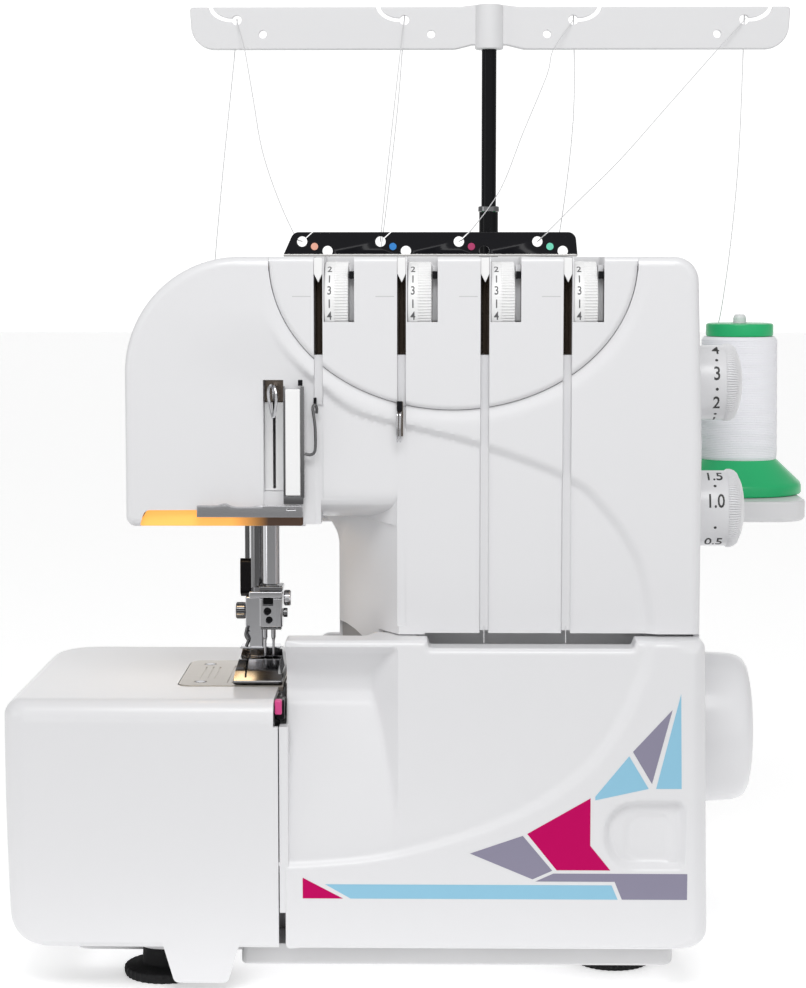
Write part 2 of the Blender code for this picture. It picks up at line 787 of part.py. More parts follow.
def side_dials():
    for name, z, radius, end in (
        ("stitch_length_dial", 247.2, 16.6, 144.3),
        ("differential_dial", 193.0, 16.9, 145.9),
    ):
        profile = [
            (0, end),
            (radius * 0.55, end - 0.5),
            (radius * 0.82, end - 2.2),
            (radius * 0.88, end - 4),
            (radius, end - 5),
            (radius, end - 9),
            (radius * 0.95, end - 9.6),
            (radius * 0.97, 122.2),
            (4, 122.2),
            (4, 112),
            (0, 112),
        ]
        finished(turned(profile, "X", (60, z), 32), name, white_plastic())


def power_parts():
    socket = box((112.8, 108.4, 35.4), (122.4, 126.4, 54.6))
    cut(socket, box((115, 111.4, 39), (130, 123.4, 51)))
    finished(socket, "inlet_socket", black_plastic())
    rocker = slab([[(113, 66.5), (122, 66.5), (124, 83.5), (113, 83.5)]], "Y", 102, 116, "rocker")
    finished(rocker, "power_switch", black_plastic(), (115, 109, 75))


# ---------------------------------------------------------------- thread path


def spool_stand():
    """The shelf behind the machine, moulded in one piece with its four spool pins."""
    back = 212
    outline = [(-113, 132.5, 6), (190.1, 132.5, 6), (190.1, back, 20), (-113, back, 20)]
    stand = slab([filleted(outline, 4)], "Z", *STAND_Z, "stand")
    for x in SPOOL_X:
        fused(stand, rod(3.1, "Z", (x, SPOOL_Y), STAND_Z[1] - 2, 273.8, 12))
    return finished(stand, "spool_stand", white_plastic())


def thread_spools():
    """Cones of thread: a green flared foot and cap, with the wound thread between them."""
    profile = [
        (4, 269.6),
        (14.6, 269.6),
        (16, 268.4),
        (16, 263.2),
        (17.9, 262.4),
        (18.2, 232),
        (18.6, 205),
        (20, 202),
        (25, 198),
        (29.4, 192.5),
        (30.2, 188.6),
        (4, 188.6),
    ]
    thread = material("spool_thread", (0.86, 0.86, 0.87), roughness=0.7)
    for number, x in enumerate(SPOOL_X, 1):
        finished(turned(profile, "Z", (x, SPOOL_Y), 28), f"thread_spool_{number}", thread)


def mast():
    outer = [(4.45, 323.7), (4.45, 188.6), (3.75, 188.6), (3.75, 323.7)]
    finished(turned(outer, "Z", MAST, 20), "mast_outer_tube", black_plastic())
    finished(rod(3.45, "Z", MAST, 265, 397.3, 20), "mast_inner_tube", black_plastic())


def hole_along_y(x, z, radius, low, high, steps=10):
    """A round cutter along Y."""
    turns = [2 * math.pi * k / steps for k in range(steps)]
    points = [(x + radius * math.cos(t), z + radius * math.sin(t)) for t in turns]
    return slab([points], "Y", low, high, "hole")


def thread_guide_bar():
    left, right, low, high = -101.4, 177.0, 397.7, 416.0
    outline = [(left, high, 1.5), (left + 1, low, 11), (MAST[0] - 16, low, 8)]
    outline += [(MAST[0] - 8, low + 2), (MAST[0] + 8, low + 2), (MAST[0] + 16, low, 8)]
    outline += [(right - 1, low, 11), (right, high, 1.5), (MAST[0] + 14, high), (MAST[0] + 6, 417.2)]
    outline += [(MAST[0] - 6, 417.2), (MAST[0] - 14, high)]
    bar = slab([filleted(outline, 4)], "Y", 156.4, 160.2, "bar")
    fused(bar, rod(6.6, "Z", MAST, low, 417.2, 20))
    cut(
        bar,
        *[hole_along_y(x, 410.3, 2.1, 150, 170) for x in EYELET_X],
        *[hole_along_y(x, 403.8, 1.9, 150, 170) for x in GUIDE_HOLE_X],
    )
    return finished(bar, "thread_guide_bar", white_plastic())


def top_thread_plate():
    low, high = BODY_TOP + GAP, 311.3
    outline = [(-51.8, low), (73.4, low), (73.4, 306, 3), (70.4, high, 2), (-48.8, high, 2)]
    outline += [(-51.8, 306, 3)]
    plate = slab([filleted(outline, 3)], "Y", 52, 55, "thread_plate")
    cut(
        plate,
        *[hole_along_y(x, 307.3, 2.2, 45, 60) for x in PLATE_HOLE_X],
        *[hole_along_y(x + 10.8, 303.3, 2.2, 45, 60) for x in PLATE_HOLE_X],
    )
    return finished(plate, "top_thread_plate", black_plastic())


THREAD_ROUTES = {
    # spool flank, rise to the guide bar, through its eyelet, down to the plate on the body
    "needle_thread_left": [
        (-95.0, 190, 262),
        (-93.6, 182, 290),
        (-88.0, 172, 340),
        (-81.5, 163, 392),
        (-79.8, 161.3, 409.3),
        (-79.6, 158.3, 410.3),
        (-79.2, 155.2, 409.3),
        (-75.4, 150, 396),
        (-70.0, 130, 372),
        (-64.5, 108, 348.4),
        (-56.0, 82, 327),
        (-47.0, 60, 309.8),
        (-43.6, 53.5, 307.3),
    ],
    "needle_thread_right": [
        (-20.4, 190, 258),
        (-17.0, 182, 285),
        (-12.1, 172, 311.3),
        (-5.0, 164, 370),
        (-1.9, 161.3, 409.3),
        (-1.7, 158.3, 410.3),
        (-1.9, 155.2, 409.3),
        (-3.4, 150, 396),
        (-6.0, 118, 365),
        (-8.6, 84, 333),
        (-10.2, 60, 310.6),
        (-10.3, 53.5, 307.3),
    ],
    "upper_looper_thread": [
        (60.2, 190, 262),
        (66.0, 182, 290),
        (72.0, 176, 313.7),
        (77.4, 166, 364.8),
        (77.0, 161.3, 409.3),
        (76.6, 158.3, 410.3),
        (76.0, 155.2, 409.3),
        (67.0, 150, 395.9),
        (63.9, 142, 383.9),
        (52.0, 112, 356),
        (41.2, 85, 329.9),
        (27.0, 60, 310.6),
        (23.0, 53.5, 307.3),
    ],
    "lower_looper_thread": [
        (148.0, 194.5, 262),
        (150.5, 188, 276),
        (153.6, 178, 310),
        (155.6, 169, 351),
        (156.2, 161.3, 409.3),
        (155.7, 158.3, 410.3),
        (155.0, 155.2, 409.3),
        (142.5, 150, 395.8),
        (118.0, 127, 369),
        (94.8, 104, 343.7),
        (74.0, 78, 324),
        (59.0, 59, 309.6),
        (56.3, 53.5, 307.3),
    ],
}
def threads():
    surface = material("spool_thread", (0.86, 0.86, 0.87), roughness=0.7)
    for name, route in THREAD_ROUTES.items():
        finished(wire(route, THREAD_RADIUS), name, surface)


# ---------------------------------------------------------------- assembly


def build():
    global PARTS, CUTTERS
    clear_scene()
    PARTS = new_collection("serger")
    CUTTERS = new_collection("cutters")
    for make in (
        base_tray,
        feet,
        frame_casting,
        front_housing,
        rear_housing,
        tension_panel,
        looper_cover,
        cover_hinge_rod,
        side_cover,
        main_shaft,
        handwheel,
        motor_pulley,
        drive_motor,
        drive_belt,
        needle_plate,
        knives,
        feed_dog,
        loopers,
        stitch_finger_lever,
        needle_parts,
        presser_parts,
        presser_lifter,
        take_up_lever,
        front_fittings,
        lamp_bulb,
        tension_dials,
        side_dials,
        power_parts,
        spool_stand,
        thread_spools,
        mast,
        thread_guide_bar,
        top_thread_plate,
        threads,
    ):
        make()


build()
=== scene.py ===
"""The looks of the overlock sewing machine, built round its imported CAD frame.

Sizes are millimetres in the machine's own layout, as in the CAD source: X runs right from the tension
panel's second channel, Y back from the front panel's face, Z up from the table. spot() turns a layout
place into metres in the frame, and the layout hangs on the needle bar's place there.
"""

import math
from contextlib import contextmanager

import bmesh
import bpy
import numpy as np
from mathutils import Matrix, Vector
from mathutils.geometry import delaunay_2d_cdt


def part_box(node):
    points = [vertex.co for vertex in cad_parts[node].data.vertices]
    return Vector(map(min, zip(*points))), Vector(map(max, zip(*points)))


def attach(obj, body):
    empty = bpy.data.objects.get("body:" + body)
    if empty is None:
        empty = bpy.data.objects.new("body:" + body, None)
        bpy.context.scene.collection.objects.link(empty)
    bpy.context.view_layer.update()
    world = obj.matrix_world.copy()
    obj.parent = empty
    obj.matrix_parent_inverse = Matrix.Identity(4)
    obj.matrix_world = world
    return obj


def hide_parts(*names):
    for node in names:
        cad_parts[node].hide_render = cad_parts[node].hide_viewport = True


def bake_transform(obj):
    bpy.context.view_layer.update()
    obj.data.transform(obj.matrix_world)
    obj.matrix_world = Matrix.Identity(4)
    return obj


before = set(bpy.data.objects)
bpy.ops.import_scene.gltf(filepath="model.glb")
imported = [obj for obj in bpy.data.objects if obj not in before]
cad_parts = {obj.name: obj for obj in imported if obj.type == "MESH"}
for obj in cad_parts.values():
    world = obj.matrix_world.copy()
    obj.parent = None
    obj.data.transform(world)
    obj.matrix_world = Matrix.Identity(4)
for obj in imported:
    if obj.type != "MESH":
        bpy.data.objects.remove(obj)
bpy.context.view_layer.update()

MM = 0.001
NEEDLE_BAR = (-56.5, 40.0)
BAR_LOW, BAR_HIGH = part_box("needle_bar")
SHIFT = Vector(((BAR_LOW.x + BAR_HIGH.x) / 2, (BAR_LOW.y + BAR_HIGH.y) / 2, 0))
SHIFT -= Vector((*NEEDLE_BAR, 0)) * MM

# Driving places of the layout.
BODY_LEFT, BODY_RIGHT, BODY_TOP = -113.2, 121.5, 300.8
SPLIT_Y, BACK_Y = 84.0, 132.0
HEAD_BOTTOM, THROAT_X, BED_TOP = 191.1, -28.0, 121.4
SEAM_Z = 147.3  # underside of the upper housing's face
COVER_FRONT, COVER_BOTTOM, COVER_TOP = -14.0, 19.0, 146.2
COVER_LEFT, COVER_RIGHT, COVER_SILL = -47.7, 124.0, 142.9  # the sill is the long dip in its top edge
CHANNEL_X = (-34.2, -0.5, 33.2, 66.6)
PANEL_CENTRE, PANEL_HALF = (20.3, 299.0), (74.4, 60.0)
DIAL_YZ, DIAL_R = (13.9, 283.0), 16.0
SHAFT_YZ = (60.0, 97.6)
SPOOL_X, SPOOL_Y = (-80.5, -1.2, 78.4, 158.1), 178.0
MAST = (37.7, 158.0)
EYELET_X = (-79.6, -1.7, 76.6, 155.7)
GUIDE_HOLE_X = (-67.5, 10.7, 64.5, 143.3)
PLATE_HOLE_X = (-43.6, -10.3, 23.0, 56.3)
HEAD_CORNER = (-66.4, 253.5)  # centre of the head's large top left corner
SINK = 2.4  # depth of the swept hollow in the front faces
HOUSING_LOW, BED_EDGE_X = 112.0, -47.4
SHELL_WALL, CHANNEL_HALF = 2.6, 1.8
COLUMN_FRONT, COLUMN_BACK = (0.9, -5.0), (THROAT_X - 12, 74.0)  # ends of the column's slanted face, in plan
HINGE_YZ = (-9, 21.5)  # the looper cover's hinge rod
PRINT_THICK = 0.06
THREAD_RADIUS = 0.2


# ---------------------------------------------------------------- places and meshes


def spot(x, y, z):
    return SHIFT + Vector((x, y, z)) * MM


def linked(name, mesh):
    obj = bpy.data.objects.new(name, mesh)
    bpy.context.scene.collection.objects.link(obj)
    return obj


def from_layout(name, points, faces):
    """A mesh object from layout points."""
    mesh = bpy.data.meshes.new(name)
    mesh.from_pydata([spot(*p) for p in points], [], faces)
    mesh.update()
    return linked(name, mesh)


def as_object(name, shape):
    mesh = bpy.data.meshes.new(name)
    shape.to_mesh(mesh)
    shape.free()
    return linked(name, mesh)


def from_bmesh(name, shape):
    bmesh.ops.recalc_face_normals(shape, faces=shape.faces)
    return as_object(name, shape)


@contextmanager
def editing(mesh):
    """A mesh opened for editing, and written back afterwards."""
    shape = bmesh.new()
    shape.from_mesh(mesh)
    yield shape
    shape.to_mesh(mesh)
    shape.free()


def split(shape, place, normal, faces=None):
    """Splits the given faces, or all of them, where a plane crosses them."""
    if faces is None:
        geometry = [*shape.verts, *shape.edges, *shape.faces]
    else:
        geometry = list({*faces, *(e for f in faces for e in f.edges), *(v for f in faces for v in f.verts)})
    bmesh.ops.bisect_plane(shape, geom=geometry, dist=1e-6, plane_co=place, plane_no=normal)


def lay(axis, u, v, w):
    """A layout place from two outline values and the distance along the axis."""
    return spot(*{"X": (w, u, v), "Y": (u, w, v), "Z": (u, v, w)}[axis])


def slab(outline, axis, low, high):
    """An outline given thickness: X takes (y, z) points, Y (x, z) and Z (x, y)."""
    shape = bmesh.new()
    rows = [[shape.verts.new(lay(axis, u, v, w)) for u, v in outline] for w in (low, high)]
    shape.faces.new(rows[0])
    shape.faces.new(rows[1])
    for i in range(len(outline)):
        shape.faces.new((rows[0][i - 1], rows[0][i], rows[1][i], rows[1][i - 1]))
    return from_bmesh("slab", shape)


def box(low, high):
    corners = [(low[0], low[1]), (high[0], low[1]), (high[0], high[1]), (low[0], high[1])]
    return slab(corners, "Z", low[2], high[2])


def filleted(corners, steps=8):
    """Points of a polygon with rounded corners; each corner is (u, v) or (u, v, radius)."""
    points = []
    for i, corner in enumerate(corners):
        here = Vector(corner[:2])
        radius = corner[2] if len(corner) > 2 else 0
        if not radius:
            points.append(tuple(here))
            continue
        before = (Vector(corners[i - 1][:2]) - here).normalized()
        after = (Vector(corners[(i + 1) % len(corners)][:2]) - here).normalized()
        half = before.angle(after) / 2
        centre = here + (before + after).normalized() * radius / math.sin(half)
        start = here + before * radius / math.tan(half) - centre
        sweep = (math.pi - 2 * half) * (-1 if before.cross(after) > 0 else 1)
        for k in range(steps + 1):
            arm = start.copy()
            arm.rotate(Matrix.Rotation(sweep * k / steps, 2))
            points.append(tuple(centre + arm))
    return points


def circle(x, z, radius, steps=24):
    turns = [2 * math.pi * k / steps for k in range(steps)]
    return [(x + radius * math.cos(t), z + radius * math.sin(t)) for t in turns]


def turned(profile, axis, centre, steps=64, wave=None):
    """A (radius, along) profile spun about an axis; wave(turn, radius, along) moves a point outwards."""
    shape = bmesh.new()
    rings = []
    for radius, along in profile:
        ring = []
        for k in range(steps if radius > 0 else 1):
            turn = 2 * math.pi * k / steps
            r = radius + (wave(turn, radius, along) if wave and radius > 0 else 0)
            a, b = centre[0] + r * math.cos(turn), centre[1] + r * math.sin(turn)
            ring.append(shape.verts.new(lay(axis, a, b, along)))
        rings.append(ring)
    if profile[0][0] > 0:
        rings.append(rings[0])
    for first, second in zip(rings, rings[1:]):
        count = max(len(first), len(second))
        for k in range(count):
            corners = [
                first[k % len(first)], first[(k + 1) % len(first)],
                second[(k + 1) % len(second)], second[k % len(second)],
            ]
            shape.faces.new(list(dict.fromkeys(corners)))
    return from_bmesh("turned", shape)


def rod(radius, axis, centre, low, high, steps=40, chamfer=0.0):
    side = [(radius, high), (radius, low)]
    if chamfer:
        edge = radius - chamfer
        side = [(edge, high), (radius, high - chamfer), (radius, low + chamfer), (edge, low)]
    return turned([(0, high), *side, (0, low)], axis, centre, steps)


def smooth_path(points, per_span=6):
    """Points along a Catmull-Rom curve through the given ones."""
    fixed = [Vector(p) for p in points]
    fixed = [2 * fixed[0] - fixed[1], *fixed, 2 * fixed[-1] - fixed[-2]]
    path = []
    for a, b, c, d in zip(fixed, fixed[1:], fixed[2:], fixed[3:]):
        for k in range(per_span):
            t = k / per_span
            place = 2 * b + (c - a) * t + (2 * a - 5 * b + 4 * c - d) * t**2
            path.append(0.5 * (place + (3 * b - a - 3 * c + d) * t**3))
    return [*path, fixed[-2]]


def wire(points, radius, name="wire", sides=2, per_span=6):
    """A round wire along a smooth path through layout points, as a mesh."""
    curve = bpy.data.curves.new(name, "CURVE")
    curve.dimensions = "3D"
    curve.bevel_depth = radius * MM
    curve.bevel_resolution = sides
    curve.use_fill_caps = True
    path = smooth_path(points, per_span) if per_span > 1 else [Vector(p) for p in points]
    spline = curve.splines.new("POLY")
    spline.points.add(len(path) - 1)
    for target, point in zip(spline.points, path):
        target.co = (*spot(*point), 1)
    return baked(linked(name, curve))


def baked(obj):
    """The object with its modifiers, or its curve, made into plain mesh."""
    bpy.context.view_layer.update()
    graph = bpy.context.evaluated_depsgraph_get()
    mesh = bpy.data.meshes.new_from_object(obj.evaluated_get(graph))
    with editing(mesh) as shape:
        bmesh.ops.remove_doubles(shape, verts=shape.verts, dist=1e-7)
    name = obj.name
    bpy.data.objects.remove(obj, do_unlink=True)
    return linked(name, mesh)


def combined(obj, operation, tools):
    for tool in tools:
        modifier = obj.modifiers.new(operation, "BOOLEAN")
        modifier.operation = operation
        modifier.solver = "EXACT"
        modifier.object = tool
    made = baked(obj)
    for tool in tools:
        bpy.data.objects.remove(tool, do_unlink=True)
    return made


def cut(obj, *tools):
    return combined(obj, "DIFFERENCE", tools)


def fused(obj, *tools):
    return combined(obj, "UNION", tools)


def bevelled(obj, width, segments=4, only=None, angle=35):
    """Rounds the sharp edges, or those whose two ends pass a test on their layout places."""
    sharp = math.radians(angle)
    with editing(obj.data) as shape:
        edges = [e for e in shape.edges if len(e.link_faces) == 2 and e.calc_face_angle(0) > sharp]
        if only is not None:
            edges = [e for e in edges if only(*[(v.co - SHIFT) / MM for v in e.verts])]
        bmesh.ops.bevel(
            shape,
            geom=edges,
            offset=width * MM,
            segments=segments,
            profile=0.5,
            affect="EDGES",
            clamp_overlap=only is None,
        )
    return obj


def shaded(obj, angle=35, weighted=True):
    obj.data.shade_smooth()
    obj.data.set_sharp_from_angle(angle=math.radians(angle))
    if weighted:
        modifier = obj.modifiers.new("Even shading", "WEIGHTED_NORMAL")
        modifier.keep_sharp = True
    return obj


# ---------------------------------------------------------------- materials


def noise(tree, place, scale, detail):
    node = tree.nodes.new("ShaderNodeTexNoise")
    node.inputs["Scale"].default_value = scale
    node.inputs["Detail"].default_value = detail
    tree.links.new(place, node.inputs["Vector"])
    return node.outputs["Fac"]


def ranged(tree, value, start, end, low, high, smooth=False):
    """A value carried from the range start to end into the range low to high."""
    node = tree.nodes.new("ShaderNodeMapRange")
    if smooth:
        node.interpolation_type = "SMOOTHSTEP"
    for socket, number in (("From Min", start), ("From Max", end), ("To Min", low), ("To Max", high)):
        node.inputs[socket].default_value = number
    tree.links.new(value, node.inputs["Value"])
    return node.outputs["Result"]


def mixed(tree, factor, first, second):
    """A colour between two others."""
    node = tree.nodes.new("ShaderNodeMix")
    node.data_type = "RGBA"
    node.inputs["A"].default_value = (*first, 1)
    node.inputs["B"].default_value = (*second, 1)
    tree.links.new(factor, node.inputs["Factor"])
    return node.outputs["Result"]


def bumped(tree, height, strength, distance):
    """Adds a relief over any that the shader has already."""
    normal = tree.nodes["Principled BSDF"].inputs["Normal"]
    bump = tree.nodes.new("ShaderNodeBump")
    bump.inputs["Strength"].default_value = strength
    bump.inputs["Distance"].default_value = distance
    tree.links.new(height, bump.inputs["Height"])
    for link in list(normal.links):
        tree.links.new(link.from_socket, bump.inputs["Normal"])
    tree.links.new(bump.outputs["Normal"], normal)


def object_axis(tree, axis):
    """The place of a point along one of its object's axes."""
    parts = tree.nodes.new("ShaderNodeSeparateXYZ")
    tree.links.new(tree.nodes["Texture Coordinate"].outputs["Object"], parts.inputs["Vector"])
    return parts.outputs[axis]


def surface(
    name, colour, roughness, metallic=0.0, coat=0.0, grain=0.02, tint=0.03, scale=900.0, stretch=None,
    shine=0.5
):
    """A moulded, painted or metal finish: a faint grain, a drift of shade and of gloss."""
    made = bpy.data.materials.new(name)
    made.use_nodes = True
    tree = made.node_tree
    shader = tree.nodes["Principled BSDF"]
    shader.inputs["Metallic"].default_value = metallic
    shader.inputs["Specular IOR Level"].default_value = shine
    shader.inputs["Coat Weight"].default_value = coat
    shader.inputs["Coat Roughness"].default_value = 0.1
    place = tree.nodes.new("ShaderNodeTexCoord").outputs["Object"]
    if stretch:
        mapping = tree.nodes.new("ShaderNodeMapping")
        mapping.inputs["Scale"].default_value = stretch
        tree.links.new(place, mapping.inputs["Vector"])
        place = mapping.outputs["Vector"]
    fine = noise(tree, place, scale, 3.0)
    broad = noise(tree, place, 14.0, 2.0)
    pale, deep = [min(1, c * (1 + tint)) for c in colour], [c * (1 - tint) for c in colour]
    tree.links.new(mixed(tree, broad, pale, deep), shader.inputs["Base Color"])
    gloss = ranged(tree, fine, 0.0, 1.0, roughness * 0.85, min(1.0, roughness * 1.2))
    tree.links.new(gloss, shader.inputs["Roughness"])
    if grain:
        bumped(tree, fine, grain, 0.0003)
    return made


def glowing(name, bright, dark, from_x, to_x, strength):
    """A warm glowing face, bright at one end along X and brown at the other; on the lamp screen this is
    painted light fading into painted shade.
    """
    made = surface(name, bright, 0.4)
    tree = made.node_tree
    shader = tree.nodes["Principled BSDF"]
    share = ranged(tree, object_axis(tree, "X"), spot(from_x, 0, 0).x, spot(to_x, 0, 0).x, 0.0, 1.0)
    colour = mixed(tree, share, bright, dark)
    tree.links.new(colour, shader.inputs["Base Color"])
    tree.links.new(colour, shader.inputs["Emission Color"])
    shader.inputs["Emission Strength"].default_value = strength
    return made


WHITE = surface("white_shell", (0.80, 0.80, 0.815), 0.30, coat=0.15, grain=0.03, tint=0.006)
BAR_WHITE = surface("guide_bar_shell", (0.74, 0.74, 0.75), 0.4, grain=0.04, tint=0.006)
# Painted shade: a greyer copy of the white plastic, for grooves, slots, screw wells and the guard at the
# column's foot.
SHADE_PAINTED_WHITE = surface("white_shell_painted_shade", (0.74, 0.74, 0.755), 0.42, grain=0.04, tint=0.008)
# Painted shade: the grey of the wall set behind the column's foot, where there is only shade.
PAINTED_SHADE_GREY = surface("painted_shade_wall", (0.42, 0.41, 0.41), 0.5, grain=0.04, tint=0.03)
# A whiter copy of the white plastic; on the dial drums, which sit in the shade of their windows, it is
# painted light.
WHITER_AND_PAINTED_LIGHT = surface("whiter_shell_and_painted_light", (0.93, 0.93, 0.93), 0.25, coat=0.2, tint=0.004)
TRAY_WHITE = surface("tray_shell", (0.72, 0.72, 0.73), 0.38, grain=0.03, tint=0.01)
BLACK = surface("black_gloss", (0.007, 0.007, 0.009), 0.22, grain=0.01, tint=0.2, shine=0.12)
BLACK_LACQUER = surface("black_lacquer", (0.005, 0.005, 0.006), 0.14, grain=0.0, tint=0.2, shine=0.12)
CHROME = surface("bright_chrome", (0.60, 0.60, 0.62), 0.09, metallic=1.0, grain=0.01, tint=0.03)
# Painted shade: chrome given a darker colour to stand in for the dark reflections of parts such as the
# presser bar.
SHADE_PAINTED_CHROME = surface("chrome_painted_shade", (0.20, 0.20, 0.205), 0.12, metallic=1.0, grain=0.01, tint=0.1)
BRONZE = surface("channel_liner", (0.13, 0.105, 0.085), 0.2, metallic=0.7, grain=0.02, tint=0.4,
                 stretch=(1, 1, 0.03))
STEEL = surface("ground_steel", (0.50, 0.49, 0.48), 0.28, metallic=1.0, grain=0.05, tint=0.05,
                stretch=(1, 0.05, 1))
PLATE = surface("needle_plate_steel", (0.46, 0.42, 0.37), 0.30, metallic=1.0, grain=0.05, tint=0.05,
                stretch=(0.06, 1, 1))
CAST = surface("die_cast", (0.33, 0.33, 0.34), 0.55, metallic=0.7, grain=0.3, tint=0.08, scale=500)
RUBBER = surface("rubber", (0.014, 0.014, 0.015), 0.75, grain=0.3, tint=0.2, scale=1500, shine=0.2)
GREEN = surface("green_plastic", (0.022, 0.47, 0.17), 0.3, coat=0.1, grain=0.03, tint=0.03, shine=0.3)
PINK = surface("pink_plastic", (0.70, 0.06, 0.26), 0.3, coat=0.2, tint=0.03)
MAGENTA = surface("magenta_print", (0.53, 0.0, 0.11), 0.5, tint=0.02, shine=0.1)
BLUE = surface("blue_print", (0.29, 0.57, 0.74), 0.5, tint=0.02, shine=0.2)
VIOLET = surface("violet_print", (0.27, 0.255, 0.345), 0.5, tint=0.03, shine=0.2)
INK = surface("ink", (0.03, 0.03, 0.03), 0.5, tint=0.2)
INDEX_GREY = surface("index_grey", (0.60, 0.60, 0.61), 0.5, tint=0.03)
GREY_INK = surface("grey_ink", (0.13, 0.13, 0.135), 0.5, tint=0.1)
PALE_INK = surface("pale_ink", (0.42, 0.42, 0.43), 0.5, tint=0.05)
# Painted light: the lamp screen glows amber at its left end and fades into painted brown shade to the right.
AMBER = glowing("lamp_glow", (0.95, 0.42, 0.09), (0.045, 0.022, 0.012), -70, -55, 0.7)
LAMP = glowing("lamp_glass", (1.0, 0.75, 0.4), (1.0, 0.6, 0.25), -96, -76, 1.2)
DOTS = [
    surface("dot_peach", (0.82, 0.40, 0.29), 0.4),
    surface("dot_blue", (0.02, 0.22, 0.62), 0.4),
    surface("dot_magenta", (0.42, 0.03, 0.13), 0.4),
    surface("dot_mint", (0.16, 0.68, 0.48), 0.4),
]


def thread_surface(name, colour, pitch=0.0):
    """Wound or running thread: a fine cross-wound relief and soft, uneven shade."""
    made = surface(name, colour, 0.72, grain=0.25, tint=0.02, scale=1400)
    tree = made.node_tree
    tree.nodes["Principled BSDF"].inputs["Sheen Weight"].default_value = 0.3
    if not pitch:
        return made
    waves = tree.nodes.new("ShaderNodeTexWave")
    waves.bands_direction = "Z"
    waves.inputs["Scale"].default_value = 0.05 / (pitch * MM)
    waves.inputs["Distortion"].default_value = 1.2
    waves.inputs["Detail Scale"].default_value = 40
    tree.links.new(tree.nodes["Texture Coordinate"].outputs["Object"], waves.inputs["Vector"])
    bumped(tree, waves.outputs["Fac"], 0.5, 0.0002)
    return made


WOUND = thread_surface("wound_thread", (0.90, 0.90, 0.94), pitch=0.9)
THREAD = thread_surface("thread", (0.62, 0.62, 0.63))


def piece(obj, name, look, body, slot, *stands_for):
    """Names a visual piece, gives it its finish and body, and hides the CAD nodes it stands for."""
    obj.name = name
    obj.data.name = name
    obj.data.materials.clear()
    obj.data.materials.append(look)
    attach(obj, body)
    if stands_for:
        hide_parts(*stands_for)
    return obj


def part(obj, *words):
    """A piece with even, smooth shading."""
    return piece(shaded(obj), *words)


def block(low, high, radius, segments, *words):
    """A plain block with rounded edges."""
    return part(bevelled(box(low, high), radius, segments), *words)


def dress(node, look):
    """A CAD node that stays, with a better finish."""
    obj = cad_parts[node]
    obj.data.materials.clear()
    obj.data.materials.append(look)
    shaded(obj, weighted=False)


def knurl(depth, teeth, grips):
    """Grooves round a turned piece, where grips(radius, place along the axis) holds."""
    return lambda turn, r, at: -depth * max(0.0, math.cos(teeth * turn)) ** 2 if grips(r, at) else 0


# ---------------------------------------------------------------- the swept hollow of the front


SWEEP_UPPER = [
    (-62, 300), (-58, 281), (-48, 263), (-34, 249.2), (-19.8, 238.5), (0.9, 232.5),
    (30.1, 225.2), (64.7, 212.4), (79.8, 201.2), (95.4, 178.7), (101.0, 154.0), (101.4, 146.6),
]
SWEEP_LOWER = [
    (101.0, 150.0), (96.3, 130.7), (82.5, 103.2), (61.2, 83.3),
    (34.0, 69.4), (1.3, 59.3), (-25, 55.2), (-60, 53.0),
]


def distances(points, line):
    """The distance from each point to a polyline."""
    line = np.asarray(line, float)
    best = np.full(len(points), 1e9)
    for a, b in zip(line, line[1:]):
        along = b - a
        share = np.clip(((points - a) @ along) / max(along @ along, 1e-12), 0, 1)
        gap = np.hypot(*(points - a - share[:, None] * along).T)
        best = np.minimum(best, gap)
    return best


def inside(points, outline):
    """Which points lie in a closed outline, by even and odd crossings."""
    x, z = points[:, 0], points[:, 1]
    found = np.zeros(len(points), bool)
    ends = list(outline[1:]) + [outline[0]]
    for (ax, az), (bx, bz) in zip(outline, ends):
        if az == bz:
            continue
        crosses = (az > z) != (bz > z)
        found ^= crosses & (x < (bx - ax) * (z - az) / (bz - az) + ax)
    return found


def flat_path(points):
    return [tuple(p)[:2] for p in smooth_path([(x, z, 0) for x, z in points], 10)]


def eased(value):
    """A soft step from 0 to 1."""
    value = np.clip(value, 0, 1)
    return value * value * (3 - 2 * value)


def swept(points, line, closing, band):
    """How far the swept hollow sinks the face at each point: full inside the line, none outside."""
    path = flat_path(line)
    gap = distances(points, path)
    gap = np.where(inside(points, path + closing), gap, -gap)
    return SINK * eased(gap / band + 0.5)


def upper_sink(points):
    band = 2.6 + 3.6 * np.clip((235 - points[:, 1]) / 80, 0, 1)
    fade = eased((points[:, 0] + 104) / 50) * (1 - eased((points[:, 1] - 246) / 34))
    return fade * swept(points, SWEEP_UPPER, [(101.4, 120), (-130, 120), (-130, 300)], band)


def lower_sink(points):
    band = 6.2 - 2.4 * np.clip((130 - points[:, 1]) / 70, 0, 1)
    return swept(points, SWEEP_LOWER, [(-60, 170), (101, 170)], band)


# ---------------------------------------------------------------- housings


def head_curve(steps=28):
    """The head's large top left corner, from the left side to the top."""
    middle_x, middle_z = HEAD_CORNER
    points = []
    for k in range(steps + 1):
        turn = math.pi / 2 * k / steps
        across, up = (middle_x - BODY_LEFT) * math.cos(turn), (BODY_TOP - middle_z) * math.sin(turn)
        points.append((middle_x - across, middle_z + up))
    return points


def body_outline(bottom):
    """The housing seen from the front, with its lower edge at bottom."""
    corners = [
        (THROAT_X, BED_TOP, 3),
        (BED_EDGE_X, BED_TOP),
        (BED_EDGE_X, bottom),
        (BODY_RIGHT, bottom),
        (BODY_RIGHT, 225),
        (BODY_RIGHT - 2.2, BODY_TOP, 10),
        *reversed(head_curve()),
        (BODY_LEFT, HEAD_BOTTOM, 4),
        (THROAT_X, HEAD_BOTTOM, 13),
    ]
    return filleted(corners, 10)


